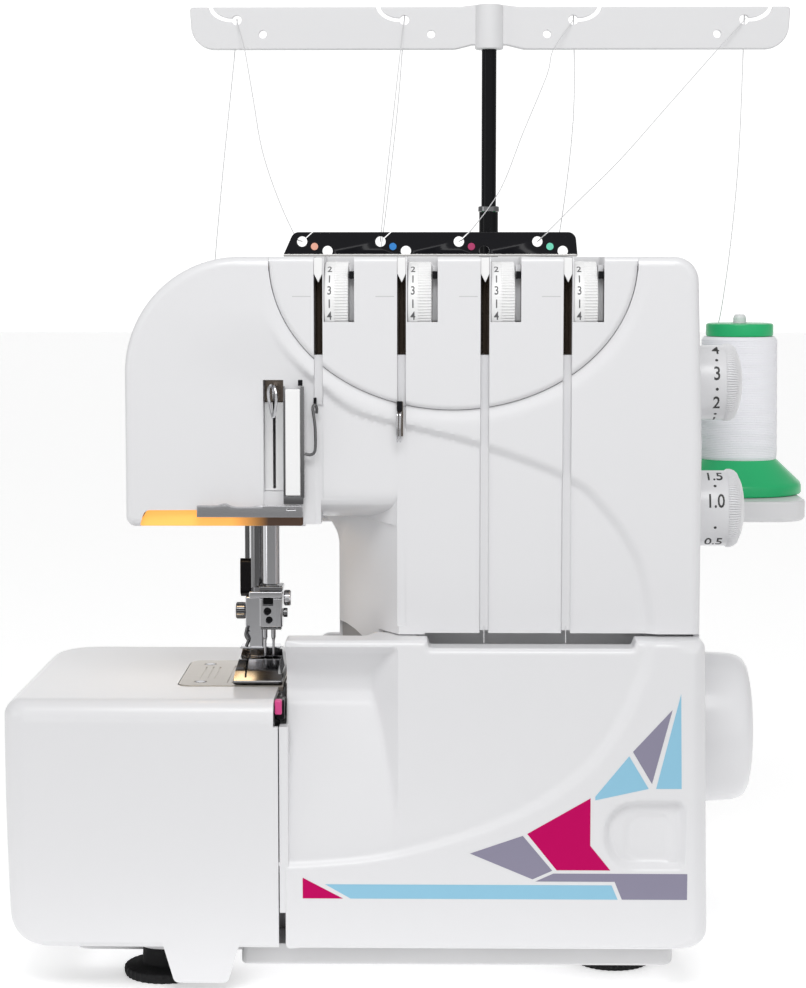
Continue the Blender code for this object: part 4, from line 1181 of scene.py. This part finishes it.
def needle_area():
    plate = slab(filleted([(-95, 21, 5.6), (-50.6, 21), (-50.6, 84), (-95, 84, 5.6)]), "Z", 119.6, 121.9)
    plate = cut(
        plate,
        box((-72.4, 27, 110), (-62.6, 69, 130)),
        box((-61, 38.4, 110), (-53.5, 41.6, 130)),
        rod(2.6, "Z", (-86, 30), 121.2, 123, 24),
        rod(2.6, "Z", (-86, 74), 121.2, 123, 24),
        box((-74.6, 27, 121.6), (-74.0, 69, 123)),
        *[box((-81 - 3 * k, 38, 121.65), (-80.7 - 3 * k, 66, 123)) for k in range(3)],
    )
    bevelled(plate, 0.35, 2, lambda a, b: min(a.z, b.z) > 121.85)
    part(plate, "needle_plate_top", PLATE, "machine", "steel", "needle_plate")
    for y in (30, 74):
        screw = cut(rod(2.3, "Z", (-86, y), 121.25, 121.95, 32, chamfer=0.25),
                    box((-89, y - 0.3, 121.7), (-83, y + 0.3, 123)))
        part(screw, f"plate_screw_{y}", CHROME, "machine", "steel")

    bar = rod(3.5, "Z", NEEDLE_BAR, 162.3, 272, 48, chamfer=0.4)
    part(bar, "needle_bar_rod", CHROME, "needles", "chrome", "needle_bar")
    block((-65.6, 33, 157.2), (-51.4, 47, 159.9), 0.5, 3, "clamp_guide_plate", CHROME, "needles", "chrome")
    block((-61.5, 34, 160.0), (-51.4, 46, 162.0), 0.5, 3, "clamp_collar", SHADE_PAINTED_CHROME, "needles", "chrome")
    clamp = bevelled(box((-61.2, 34, 144.4), (-51.6, 46, 157.1)), 0.7, 3)
    clamp = cut(clamp, box((-60.0, 30, 153.7), (-55.4, 37, 157.4)),
                rod(1.75, "Y", (-57.9, 151.3), 30, 35.6, 32),
                rod(1.6, "Y", (-57.2, 147.6), 30, 35.6, 32), box((-54.0, 33, 144), (-53.7, 34.4, 158)))
    part(clamp, "clamp_block", CHROME, "needles", "chrome", "needle_clamp")
    socket = box((-59.9, 36.6, 153.8), (-55.5, 37.2, 157.0))
    part(socket, "clamp_window", BLACK, "needles", "black_metal")
    block((-60.8, 34.6, 143.4), (-52.0, 45.6, 144.3), 0.2, 2, "clamp_base", SHADE_PAINTED_CHROME, "needles", "chrome")
    for word, px, pz, size in (("upper", -57.9, 151.3, 1.6), ("lower", -57.2, 147.6, 1.45)):
        grub = rod(size, "Y", (px, pz), 34.5, 40, 32, chamfer=0.2)
        grub = cut(grub, box((px - size, 34.2, pz - 0.2), (px + size, 35.0, pz + 0.2)))
        part(grub, f"clamp_grub_{word}", BLACK, "needles", "black_metal")
    screw = cut(rod(3.4, "X", (40, 156.4), -51.2, -48.2, 40, chamfer=0.5),
                box((-49.0, 34, 156.0), (-47, 46, 156.8)))
    part(screw, "clamp_screw_head", CHROME, "needles", "steel", "needle_clamp_screw")
    small = rod(2.0, "X", (39, 150.2), -51.5, -49.6, 32, chamfer=0.3)
    part(small, "clamp_screw_small", SHADE_PAINTED_CHROME, "needles", "steel")
    for side, across in (("left", -59.3), ("right", -55.8)):
        profile = [(0, 143.2), (1.0, 143.2), (1.0, 139.6), (0.85, 139.0), (0.55, 138.0), (0.5, 131.5),
                   (0.3, 130.4), (0, 129.6)]
        needle = turned(profile, "Z", (across, NEEDLE_BAR[1]), 24)
        part(needle, f"needle_{side}_shaft", CHROME, "needles", "chrome", f"needle_{side}")


def presser_area():
    bar = rod(3.2, "Z", (-63.0, 52.0), 156.0, 275, 48, chamfer=0.4)
    # The presser bar's chrome is painted darker, as painted shade for its dark reflections.
    part(bar, "presser_bar_rod", SHADE_PAINTED_CHROME, "presser", "chrome", "presser_bar")
    shank = bevelled(box((-68.4, 47.8, 133.5), (-60.6, 56.5, 155.7)), 0.8, 3)
    shank = cut(shank, box((-69, 46, 140.5), (-66.2, 50, 141.3)), box((-69, 46, 134), (-66.6, 58, 137)))
    part(shank, "foot_shank", CHROME, "presser", "chrome", "presser_foot_shank")

    profile = [(0, -68.5), (3.2, -68.5), (3.6, -68.9), (3.6, -72.2), (3.2, -72.6), (0, -72.6)]
    knob = turned(profile, "X", (51.5, 149.2), 192, knurl(0.3, 24, lambda r, x: r > 3.4))
    part(knob, "foot_knob", SHADE_PAINTED_CHROME, "presser", "chrome")
    side = [
        (18, 123.8, 0.6), (20.5, 122.4, 1), (58, 122.4, 1), (60, 125, 1), (57, 131, 1.5),
        (55.5, 133.2, 0.8), (47, 133.2, 0.8), (44, 130.4, 2), (33, 131.0, 3), (23.5, 128, 3),
    ]
    foot = slab(filleted(side, 5), "X", -71.4, -50.9)
    foot = cut(
        bevelled(foot, 0.45, 2),
        box((-61.2, 37, 115), (-53.6, 43, 140)),
        box((-66.6, 14, 125.4), (-65.8, 47, 140)),
        box((-52.6, 14, 126.6), (-50, 44, 140)),
        slab([(-73, 121), (-71.6, 123.4), (-69.4, 134), (-73, 134)], "Y", 10, 70),
        slab([(-49, 121), (-50.7, 123.4), (-52.7, 134), (-49, 134)], "Y", 10, 70),
    )
    part(foot, "foot_sole", SHADE_PAINTED_CHROME, "presser", "chrome", "presser_foot")
    block((-70.6, 46.6, 133.3), (-53.6, 56.4, 134.2), 0.3, 2, "foot_top_plate", CHROME, "presser", "chrome")
    latch = [(-67.4, 45.6, 142.8), (-68.0, 45.0, 139.5), (-67.0, 45.0, 137.2), (-67.8, 45.2, 134.6)]
    part(wire(latch, 0.75, "latch", 3), "foot_latch", SHADE_PAINTED_CHROME, "presser", "steel")
    outline = filleted([(58.5, 156.0, 1.5), (63, 153.5, 1.5), (66, 156, 3), (66.5, 170.0, 2),
                        (58.5, 171.0, 2)], 6)
    lever = slab(outline, "X", -71.4, -66.0)
    lean = [(-66.6, 172), (-66.6, 165), (-65.9, 160), (-67.6, 154), (-69.0, 150), (-60, 150), (-60, 172)]
    lever = bevelled(cut(lever, slab(filleted([(*p, 1) for p in lean], 4), "Y", 50, 75)), 0.6, 3)
    part(lever, "lifter_handle", BLACK, "lifter", "black_plastic", "presser_lifter")
    block((-69.4, 60.2, 168), (-67.4, 64.5, 196), 0.4, 2, "lifter_arm", SHADE_PAINTED_CHROME, "lifter",
          "black_plastic")


def cutting_parts():
    block((-50.2, 30, 70), (-48.7, 42, 121.6), 0.2, 2, "lower_knife_blade", STEEL, "machine", "steel",
          "lower_knife")
    outline = [(30, 123.4), (44, 122.4), (44, 90), (52, 90), (52, 130), (30, 130)]
    upper = cut(slab(outline, "X", -48.4, -46.9), rod(1.4, "X", (48, 124), -50, -45, 24),
                rod(1.4, "X", (48, 98), -50, -45, 24))
    part(bevelled(upper, 0.15, 2), "upper_knife_blade", SHADE_PAINTED_CHROME, "knife", "steel", "upper_knife")
    for name, look in (("feed_dog", STEEL), ("upper_looper", CHROME), ("lower_looper", CHROME)):
        dress(name, look)
    lever = slab(filleted([(-9, 113.0, 0.6), (12, 113.0), (12, 119), (-3, 121.2, 1), (-9, 121.2, 1)], 4),
                 "X", -51.2, -48.1)
    part(bevelled(lever, 0.3, 2), "finger_lever_base", BLACK, "stitch_finger", "pink_plastic",
         "stitch_finger_lever")
    block((-51.9, -11.2, 115.6), (-49.0, -7.2, 121.6), 0.6, 3, "finger_lever_grip", PINK, "stitch_finger",
          "pink_plastic")


def take_up_area():
    arm = [(27, 227, 2.5), (33, 227, 2.5), (33, 236, 2.5), (12, 246.5, 4), (3.4, 248.8, 1), (3.4, 245.4, 1)]
    blade = slab(filleted([*arm, (27, 233.5, 3)], 5), "X", -53.3, -52.5)
    part(bevelled(blade, 0.15, 2), "take_up_blade", CHROME, "take_up", "chrome", "take_up_lever")
    hook = [(-52.9, 4.0, 247.6), (-53.6, 0.4, 248.8), (-54.4, -1.4, 246.0), (-53.6, -1.9, 240.0)]
    hook += [(-52.6, -1.6, 236.2), (-51.7, -1.4, 238.8), (-51.3, -0.6, 244.4), (-52.2, 1.0, 248.2), hook[0]]
    part(wire(hook, 0.62, "hook", 3), "take_up_hook", CHROME, "take_up", "chrome")
    backing = box((-56.8, 10.2, 205.1), (-48.7, 11.0, 241.4))
    backing = cut(backing, box((-53.45, 8, 206), (-52.35, 13, 243)))
    part(bevelled(backing, 0.2, 2), "take_up_backing", WHITER_AND_PAINTED_LIGHT, "machine", "white_plastic")
    lining = box((-56.8, 11.2, 241.6), (-48.9, 11.8, 251.4))
    part(bevelled(lining, 0.2, 2), "take_up_lining", BRONZE, "machine", "steel")

    block((-47.6, -1.9, 204.2), (-41.6, -0.4, 247.4), 0.35, 3, "take_up_cover_face", WHITER_AND_PAINTED_LIGHT, "machine",
          "white_plastic", "take_up_cover")
    frame_parts = (
        ("left", (-48.5, -1.2, 203.2), (-47.9, 2.2, 248.6), SHADE_PAINTED_CHROME),
        ("right", (-41.4, -1.6, 203.2), (-40.0, 0.4, 248.6), SHADE_PAINTED_CHROME),
        ("foot", (-48.5, -1.5, 200.6), (-40.4, 0.2, 203.8), SHADE_PAINTED_CHROME),
    )
    for word, low, high, look in frame_parts:
        strip = bevelled(box(low, high), 0.2, 2)
        part(strip, f"take_up_frame_{word}", look, "machine", "chrome")
    block((-42.4, -1.6, 248.8), (-40.6, 0.4, 251.2), 0.2, 2, "take_up_clip", BLACK, "machine",
          "black_plastic")
    guide = box((-83.9, -1.7, 195.2), (-40.7, -0.4, 200.0))
    dip = filleted([(-70, 199.3, 0.4), (-60.4, 199.3, 0.4), (-60.4, 201, 0.4), (-70, 201, 0.4)], 3)
    guide = cut(guide, slab(dip, "Y", -3, 2), box((-47.0, -3, 198.3), (-43.6, 2, 198.9)))
    part(bevelled(guide, 0.3, 2), "head_guide_plate", CHROME, "machine", "chrome", "head_thread_guide")
    lip = [
        (-83.4, -1.9, 199.8), (-76, -1.9, 199.8), (-72.4, -2.1, 200.6), (-69.6, -2.1, 199.6),
        (-66, -1.9, 199.2), (-57, -1.9, 199.4),
    ]
    part(wire(lip, 0.45, "lip", 3), "head_guide_lip", CHROME, "machine", "chrome")

    left = [
        (-39.8, -1.0, 221.2), (-37.6, -1.3, 220.8), (-36.0, -1.6, 221.6), (-35.4, -1.6, 224.2),
        (-35.5, -1.6, 232), (-36.2, -1.6, 237.6), (-36.4, -1.5, 240.0), (-35.6, -1.2, 241.2),
        (-34.9, -0.8, 239.8), (-34.9, -0.6, 237.6),
    ]
    part(wire(left, 0.62, "hook", 3), "thread_hook_a", SHADE_PAINTED_CHROME, "machine", "chrome", "thread_hook_left")
    block((-36.2, -1.4, 241.2), (-34.9, 0.6, 244.0), 0.25, 2, "thread_hook_clip", BLACK, "machine",
          "black_plastic")
    block((-2.4, 0.5, 228.2), (0.1, 1.4, 242.4), 0.2, 2, "thread_hook_well", BRONZE, "machine", "steel")
    for name, x, stands_for in (("thread_hook_b", -2.1, ("thread_hook_right",)),
                                ("thread_hook_c", -1.0, ())):
        right = [(x, -1.0, 226.2), (x - 0.1, -2.6, 227.6), (x - 0.1, -3.0, 232), (x, -2.6, 236.8),
                 (x + 0.1, -1.0, 238.4)]
        part(wire(right, 0.42, "hook", 3), name, CHROME, "machine", "chrome", *stands_for)
    block((-2.4, -2.2, 238.6), (-0.2, 0.6, 242.6), 0.2, 2, "thread_hook_cap", BLACK, "machine",
          "black_plastic")


def lamp_area():
    outline = filleted([(-108.4, 191.3, 1), (-40.9, 191.3, 1), (-40.9, 197.8, 1), (-104.6, 197.8, 2)], 4)
    screen = slab(outline, "Y", 3.1, 3.9)
    # The screen's amber glow and its brown end are painted light and painted shade.
    part(screen, "lamp_screen", AMBER, "machine", "lamp")
    profile = [(0, -76), (2.4, -76), (2.6, -80), (3.6, -81.4), (4.1, -84), (4.2, -90), (3.6, -93.6),
               (2, -95.6), (0, -96)]
    bulb = turned(profile, "X", (27, 202), 32)
    part(bulb, "lamp_glass_bulb", LAMP, "machine", "lamp", "lamp_bulb")


# ---------------------------------------------------------------- thread path


def with_slot(x, z, radius, lean, top, width):
    """A round hole along Y with a narrow slot that leans away to the piece's top edge."""
    hole = slab(circle(x, z, radius, 28), "Y", 40, 170)
    run = (top + 2 - z) * lean
    points = [(x - width / 2, z), (x + width / 2, z), (x + run + width / 2, top + 2),
              (x + run - width / 2, top + 2)]
    return fused(hole, slab(points, "Y", 40, 170))


def eyelet(x, z, side):
    """A round hole along Y whose slot curves away to one side and up to the piece's top edge."""
    run = [(0, 0), (5.0, 0.3), (9.0, 1.9), (11.6, 4.5), (12.8, 8.5)]
    path = [Vector((x + side * dx, z + dz)) for dx, dz in flat_path(run)]
    left, right = [], []
    for before, here, after in zip([path[0], *path], path, [*path[1:], path[-1]]):
        along = (after - before).normalized() * 0.95
        left.append((here.x - along.y, here.y + along.x))
        right.append((here.x + along.y, here.y - along.x))
    slot = slab(left + right[::-1], "Y", 150, 170)
    return fused(slab(circle(x, z, 2.3, 28), "Y", 149, 171), slot)


def guide_bar():
    left, right, low, high = -101.4, 177.0, 396.8, 416.2
    middle = MAST[0]
    top = 417.2
    lower = [
        (left + 1.2, low, 11), (middle - 16, low, 8), (middle - 8, low + 2, 2), (middle + 8, low + 2, 2),
        (middle + 16, low, 8), (right - 1.2, low, 11),
    ]
    upper = [
        (right, high, 1.5), (middle + 14, high, 6), (middle + 6, top, 4), (middle - 6, top, 4),
        (middle - 14, high, 6), (left, high, 1.5),
    ]
    outline = filleted(lower + upper, 10)
    bar = slab(outline, "Y", 156.4, 160.2)
    bevelled(bar, 0.7, 3, at_y(156.4))
    bar = fused(bar, bevelled(rod(6.6, "Z", MAST, low, top, 48), 0.8, 3))
    slots = [eyelet(x, 410.3, side) for x, side in zip(EYELET_X, (-1, -1, 1, 1))]
    holes = [slab(circle(x, 403.8, 1.9, 24), "Y", 150, 170) for x in GUIDE_HOLE_X]
    bar = cut(bar, *slots, *holes)
    part(bar, "guide_bar", BAR_WHITE, "mast", "grey_plastic", "thread_guide_bar")


def mast():
    inner = rod(3.45, "Z", MAST, 265, 397.3, 48, chamfer=0.3)
    part(inner, "mast_upper_tube", BLACK_LACQUER, "mast", "black_metal", "mast_inner_tube")
    outer = turned([(4.0, 323.7), (4.3, 323.7), (4.45, 323.4), (4.45, 188.6), (3.75, 188.6), (3.75, 323.7)],
                   "Z", MAST, 48)
    part(outer, "mast_lower_tube", BLACK_LACQUER, "machine", "black_metal", "mast_outer_tube")
    ring = turned([(4.5, 324.5), (4.9, 324.2), (4.95, 322.2), (4.5, 321.8), (3.7, 323.8), (3.7, 324.5)], "Z",
                  MAST, 48)
    part(ring, "mast_collar", SHADE_PAINTED_CHROME, "machine", "black_metal")


def top_plate():
    low, high = BODY_TOP + 0.3, 311.3
    outline = filleted([(-51.8, low, 0.5), (73.4, low, 0.5), (72.4, high, 3.5), (-47.2, high, 3.5)])
    plate = slab(outline, "Y", 52, 55)
    cutters = [with_slot(x, 307.3, 2.2, 1.1, high, 0.7) for x in PLATE_HOLE_X]
    cutters += [slab(circle(x + 10.8, 303.3, 2.2, 28), "Y", 45, 60) for x in PLATE_HOLE_X]
    plate = cut(plate, *cutters)
    bevelled(plate, 0.3, 2, at_y(52))
    part(plate, "thread_plate", BLACK, "machine", "black_plastic", "top_thread_plate")
    block((-51.4, 50.6, BODY_TOP + 0.15), (73.0, 51.9, BODY_TOP + 1.2), 0.2, 2, "thread_plate_foot", STEEL,
          "machine", "steel")
    for number, (x, look) in enumerate(zip(PLATE_HOLE_X, DOTS), 1):
        dot = rod(1.55, "Y", (x + 5.3, 305.2), 51.75, 52.1, 32, chamfer=0.08)
        part(dot, f"colour_dot_{number}", look, "machine", "black_plastic")


def spools():
    plan = filleted([(-113, 132.5, 6), (185.6, 132.5, 14), (185.6, 212, 20), (-113, 212, 20)], 10)
    stand = slab(plan, "Z", 178.6, 188.3)
    bevelled(stand, 2.2, 4, lambda a, b: max(a.z, b.z) < 178.7)
    bevelled(stand, 0.8, 3, lambda a, b: min(a.z, b.z) > 188.2)
    plan = filleted([(-24, 132.5, 2), (110, 132.5, 8), (110, 200, 12), (-24, 200, 12)])
    under = slab(plan, "Z", 175.0, 181.0)
    stand = fused(stand, bevelled(under, 2.5, 4, lambda a, b: max(a.z, b.z) < 175.1))
    for number, x in enumerate(SPOOL_X, 1):
        profile = [(0, 273.8), (2.0, 273.7), (2.7, 273.0), (3.1, 271.6), (3.1, 188.4), (5.2, 188.4),
                   (5.2, 187.6), (0, 187.6)]
        pin = turned(profile, "Z", (x, SPOOL_Y), 40)
        part(pin, f"spool_pin_{number}", WHITE, "machine", "white_plastic")
    part(stand, "spool_shelf", TRAY_WHITE, "machine", "white_plastic", "spool_stand")
    for number, x in enumerate(SPOOL_X, 1):
        spool(number, x)


def spool(number, x):
    """A cone of thread: a green cone with a flared foot and a cap, and the thread wound on it."""
    centre = (x, SPOOL_Y)
    body = f"spool_{number}"
    profile = [
        (17.6, 205.2), (18.6, 204.4), (28.9, 194.6), (29.7, 193.7), (30.1, 192.6), (30.2, 189.3),
        (29.8, 188.6), (4, 188.6), (4, 205.2),
    ]
    foot = turned(profile, "Z", centre, 96)
    part(foot, f"cone_foot_{number}", GREEN, body, "spool_thread")
    profile = [(4, 269.6), (14.6, 269.6), (15.7, 269.2), (16, 268.4), (16, 264.2), (15.6, 263.4), (4, 263.4)]
    cap = turned(profile, "Z", centre, 96)
    part(cap, f"cone_cap_{number}", GREEN, body, "spool_thread")
    rows, low, high = 72, 204.6, 263.2
    winding = [(4, high)]
    for k in range(rows * 4 + 1):
        share = k / (rows * 4)
        z = high + (low - high) * share
        radius = 17.9 + 0.55 * share + 0.1 * math.cos(2 * math.pi * k / 4)
        radius -= 1.2 * max(0, 1 - share * 40) + 0.5 * max(0, share * 40 - 39)
        winding.append((radius, z))
    winding.append((4, low))

    def uneven(turn, r, z):
        return 0.06 * math.sin(3 * turn + z)

    thread = turned(winding, "Z", centre, 72, uneven)
    piece(shaded(thread, 60, weighted=False), f"cone_thread_{number}", WOUND, body, "spool_thread",
          f"thread_spool_{number}")


THREAD_ROUTES = {
    "needle_thread_left": [
        (-95.0, 190, 262), (-93.6, 182, 290), (-88.0, 172, 340), (-81.5, 163, 392), (-79.8, 161.3, 409.3),
        (-79.6, 158.3, 410.3), (-79.2, 155.2, 409.3), (-75.4, 150, 396), (-70.0, 130, 372),
        (-64.5, 108, 348.4), (-56.0, 82, 327), (-47.0, 60, 309.8), (-43.6, 53.5, 307.3),
    ],
    "needle_thread_right": [
        (-20.4, 190, 258), (-17.0, 182, 285), (-12.1, 172, 311.3), (-5.0, 164, 370), (-1.9, 161.3, 409.3),
        (-1.7, 158.3, 410.3), (-1.9, 155.2, 409.3), (-3.4, 150, 396), (-6.0, 118, 365), (-8.6, 84, 333),
        (-10.2, 60, 310.6), (-10.3, 53.5, 307.3),
    ],
    "upper_looper_thread": [
        (60.2, 190, 262), (66.0, 182, 290), (72.0, 176, 313.7), (77.4, 166, 364.8), (77.0, 161.3, 409.3),
        (76.6, 158.3, 410.3), (76.0, 155.2, 409.3), (67.0, 150, 395.9), (63.9, 142, 383.9),
        (52.0, 112, 356), (41.2, 85, 329.9), (27.0, 60, 310.6), (23.0, 53.5, 307.3),
    ],
    "lower_looper_thread": [
        (148.0, 194.5, 262), (150.5, 188, 276), (153.6, 178, 310), (155.6, 169, 351), (156.2, 161.3, 409.3),
        (155.7, 158.3, 410.3), (155.0, 155.2, 409.3), (142.5, 150, 395.8), (118.0, 127, 369),
        (94.8, 104, 343.7), (74.0, 78, 324), (59.0, 59, 309.6), (56.3, 53.5, 307.3),
    ],
}


def threads():
    for name, route in THREAD_ROUTES.items():
        line = wire(route, THREAD_RADIUS, name + "_line", 2, 5)
        line.data.materials.append(THREAD)
        line.data.shade_smooth()
        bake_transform(line)
        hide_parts(name)
    for name, x in (("run_channel_3", CHANNEL_X[2]), ("run_channel_4", CHANNEL_X[3])):
        route = [(x, 2.6, 152), (x, 1.6, 148.4), (x, 0.9, 146), (x, 0.6, 143.4)]
        line = wire(route, THREAD_RADIUS, name, 2, 5)
        line.data.shade_smooth()
        piece(line, name, THREAD, "machine", "spool_thread")


# ---------------------------------------------------------------- drive and rear


def power_area():
    socket = bevelled(box((112.8, 108.4, 35.4), (122.4, 126.4, 54.6)), 0.8, 3)
    socket = cut(socket, box((115, 111.4, 39), (130, 123.4, 51)))
    part(socket, "inlet_block", BLACK, "machine", "black_plastic", "inlet_socket")
    for k, z in enumerate((42.4, 47.6)):
        pin = rod(1.1, "X", (117.4, z), 114.8, 120.6, 24, chamfer=0.3)
        part(pin, f"inlet_pin_{k}", CHROME, "machine", "chrome")
    rocker = slab([(113, 66.5), (122, 66.5), (121.6, 75), (124, 83.5), (113, 83.5)], "Y", 102, 116)
    part(bevelled(rocker, 0.5, 2), "switch_rocker", BLACK, "switch", "black_plastic", "power_switch")
    mark = rod(1.3, "X", (109, 71), 121.2, 121.9, 24)
    part(mark, "switch_mark", PALE_INK, "switch", "black_plastic")


def rear_trim():
    """Screws in their wells on the back."""
    for k, (x, z) in enumerate(((-95, 210), (100, 285), (100, 40), (-20, 285), (-36, 40))):
        well = turned([(2.4, BACK_Y + 0.05), (3.6, BACK_Y + 0.05), (3.6, BACK_Y - 0.6), (2.4, BACK_Y - 0.6)],
                      "Y", (x, z), 32)
        # The well is painted a greyer white: painted shade.
        part(well, f"screw_well_{k}", SHADE_PAINTED_WHITE, "machine", "white_plastic")
        head = rod(2.2, "Y", (x, z), BACK_Y - 1.2, BACK_Y + 0.1, 32, chamfer=0.3)
        head = cut(head, box((x - 1.6, BACK_Y - 0.3, z - 0.28), (x + 1.6, BACK_Y + 1, z + 0.28)),
                   box((x - 0.28, BACK_Y - 0.3, z - 1.6), (x + 0.28, BACK_Y + 1, z + 1.6)))
        part(head, f"screw_{k}", STEEL, "machine", "steel")


def inner_parts():
    """The CAD nodes behind the covers, which stay as they are."""
    for look, names in (
        (CAST, ("frame_casting", "drive_motor")),
        (STEEL, ("main_shaft", "motor_pulley", "cover_hinge_rod")),
        (RUBBER, ("drive_belt",)),
    ):
        for name in names:
            dress(name, look)


# ---------------------------------------------------------------- stage, light and camera

# The floor is a pale grey in front of the machine, which is painted shade, and a glowing white behind its
# front, which is painted light.
FLOOR_GREY_Y, FLOOR_WHITE_Y, FLOOR_GREY, FLOOR_WHITE, FLOOR_GLOW = -230, 12, 0.58, 0.90, 0.46
FRONT_LIGHT, SIDE_LIGHT, BACK_LIGHT, SKY_LIGHT = 0.88, 0.46, 1.16, 0.42


def stage():
    corners = [(-3000, -2500, 0), (3000, -2500, 0), (3000, 9000, 0), (-3000, 9000, 0)]
    floor = from_layout("floor", corners, [(0, 1, 2, 3)])
    look = surface("pale_floor", (FLOOR_WHITE,) * 3, 0.6, grain=0.0, tint=0.005)
    tree = look.node_tree
    shader = tree.nodes["Principled BSDF"]
    shader.inputs["Specular IOR Level"].default_value = 0.1
    back = object_axis(tree, "Y")
    start, end = spot(0, FLOOR_GREY_Y, 0).y, spot(0, FLOOR_WHITE_Y, 0).y
    # Painted shade: the floor's colour greys towards the front.
    shade = ranged(tree, back, start, end, FLOOR_GREY, FLOOR_WHITE, smooth=True)
    tree.links.new(shade, shader.inputs["Base Color"])
    # Painted light: the floor glows behind the machine's front.
    glow = ranged(tree, back, start, end, 0.0, 1.0, smooth=True)
    tree.links.new(glow, shader.inputs["Emission Color"])
    shader.inputs["Emission Strength"].default_value = FLOOR_GLOW
    floor.data.materials.append(look)
    bpy.context.scene.view_settings.view_transform = "Standard"


def studio():
    """A white room: its side walls are dim, and its back wall is the brightest."""
    world = bpy.data.worlds.new("studio")
    bpy.context.scene.world = world
    world.use_nodes = True
    tree = world.node_tree
    parts = tree.nodes.new("ShaderNodeSeparateXYZ")
    tree.links.new(tree.nodes.new("ShaderNodeTexCoord").outputs["Generated"], parts.inputs["Vector"])
    heading, height = parts.outputs["Y"], parts.outputs["Z"]
    walls = tree.nodes.new("ShaderNodeMath")
    walls.operation = "MULTIPLY"
    front = ranged(tree, heading, -0.8, -0.3, FRONT_LIGHT, SIDE_LIGHT, smooth=True)
    back = ranged(tree, heading, 0.72, 0.93, 1.0, BACK_LIGHT / SIDE_LIGHT, smooth=True)
    tree.links.new(front, walls.inputs[0])
    tree.links.new(back, walls.inputs[1])
    mix = tree.nodes.new("ShaderNodeMix")
    mix.inputs["B"].default_value = SKY_LIGHT
    tree.links.new(walls.outputs[0], mix.inputs["A"])
    tree.links.new(ranged(tree, height, 0.35, 0.9, 0.0, 1.0, smooth=True), mix.inputs["Factor"])
    background = tree.nodes["Background"]
    background.inputs["Color"].default_value = (1, 1, 1, 1)
    tree.links.new(mix.outputs["Result"], background.inputs["Strength"])


def area_light(name, place, aim, size, watts, colour=(1, 1, 1)):
    light = bpy.data.lights.new(name, "AREA")
    light.shape = "RECTANGLE"
    light.size, light.size_y = size
    light.energy = watts
    light.color = colour
    obj = bpy.data.objects.new(name, light)
    bpy.context.scene.collection.objects.link(obj)
    obj.location = spot(*place)
    obj.rotation_euler = (spot(*aim) - spot(*place)).to_track_quat("-Z", "Y").to_euler()


def lights():
    area_light("key", (30, -650, 900), (0, 40, 230), (0.6, 0.4), 4.4)
    area_light("left fill", (-1250, -450, 250), (0, 40, 170), (0.4, 0.6), 1.2)
    area_light("lamp", (-84, 22, 197), (-78, 60, 121), (0.03, 0.02), 0.016, (1.0, 0.72, 0.42))


CAMERA_PLACE, LENS = (15.0, -964.0, 299.5), 86.76
CAMERA_HEADING = (-0.015389, 0.995086, -0.097807)


def camera():
    lens = bpy.data.cameras.new("camera")
    lens.sensor_fit = "VERTICAL"
    lens.sensor_height = 36
    lens.lens = LENS
    lens.clip_start = 0.05
    obj = bpy.data.objects.new("camera", lens)
    bpy.context.scene.collection.objects.link(obj)
    obj.location = spot(*CAMERA_PLACE)
    obj.rotation_euler = Vector(CAMERA_HEADING).to_track_quat("-Z", "Y").to_euler()
    bpy.context.scene.camera = obj


# ---------------------------------------------------------------- assembly


camera()
stage()
studio()
lights()
front_housing()
rear_housing()
bed_hump()
tension_panel()
channel_parts()
looper_cover()
side_cover()
base_parts()
tension_dials()
side_dials()
handwheel()
needle_area()
presser_area()
cutting_parts()
take_up_area()
lamp_area()
guide_bar()
mast()
top_plate()
spools()
threads()
power_area()
rear_trim()
inner_parts()
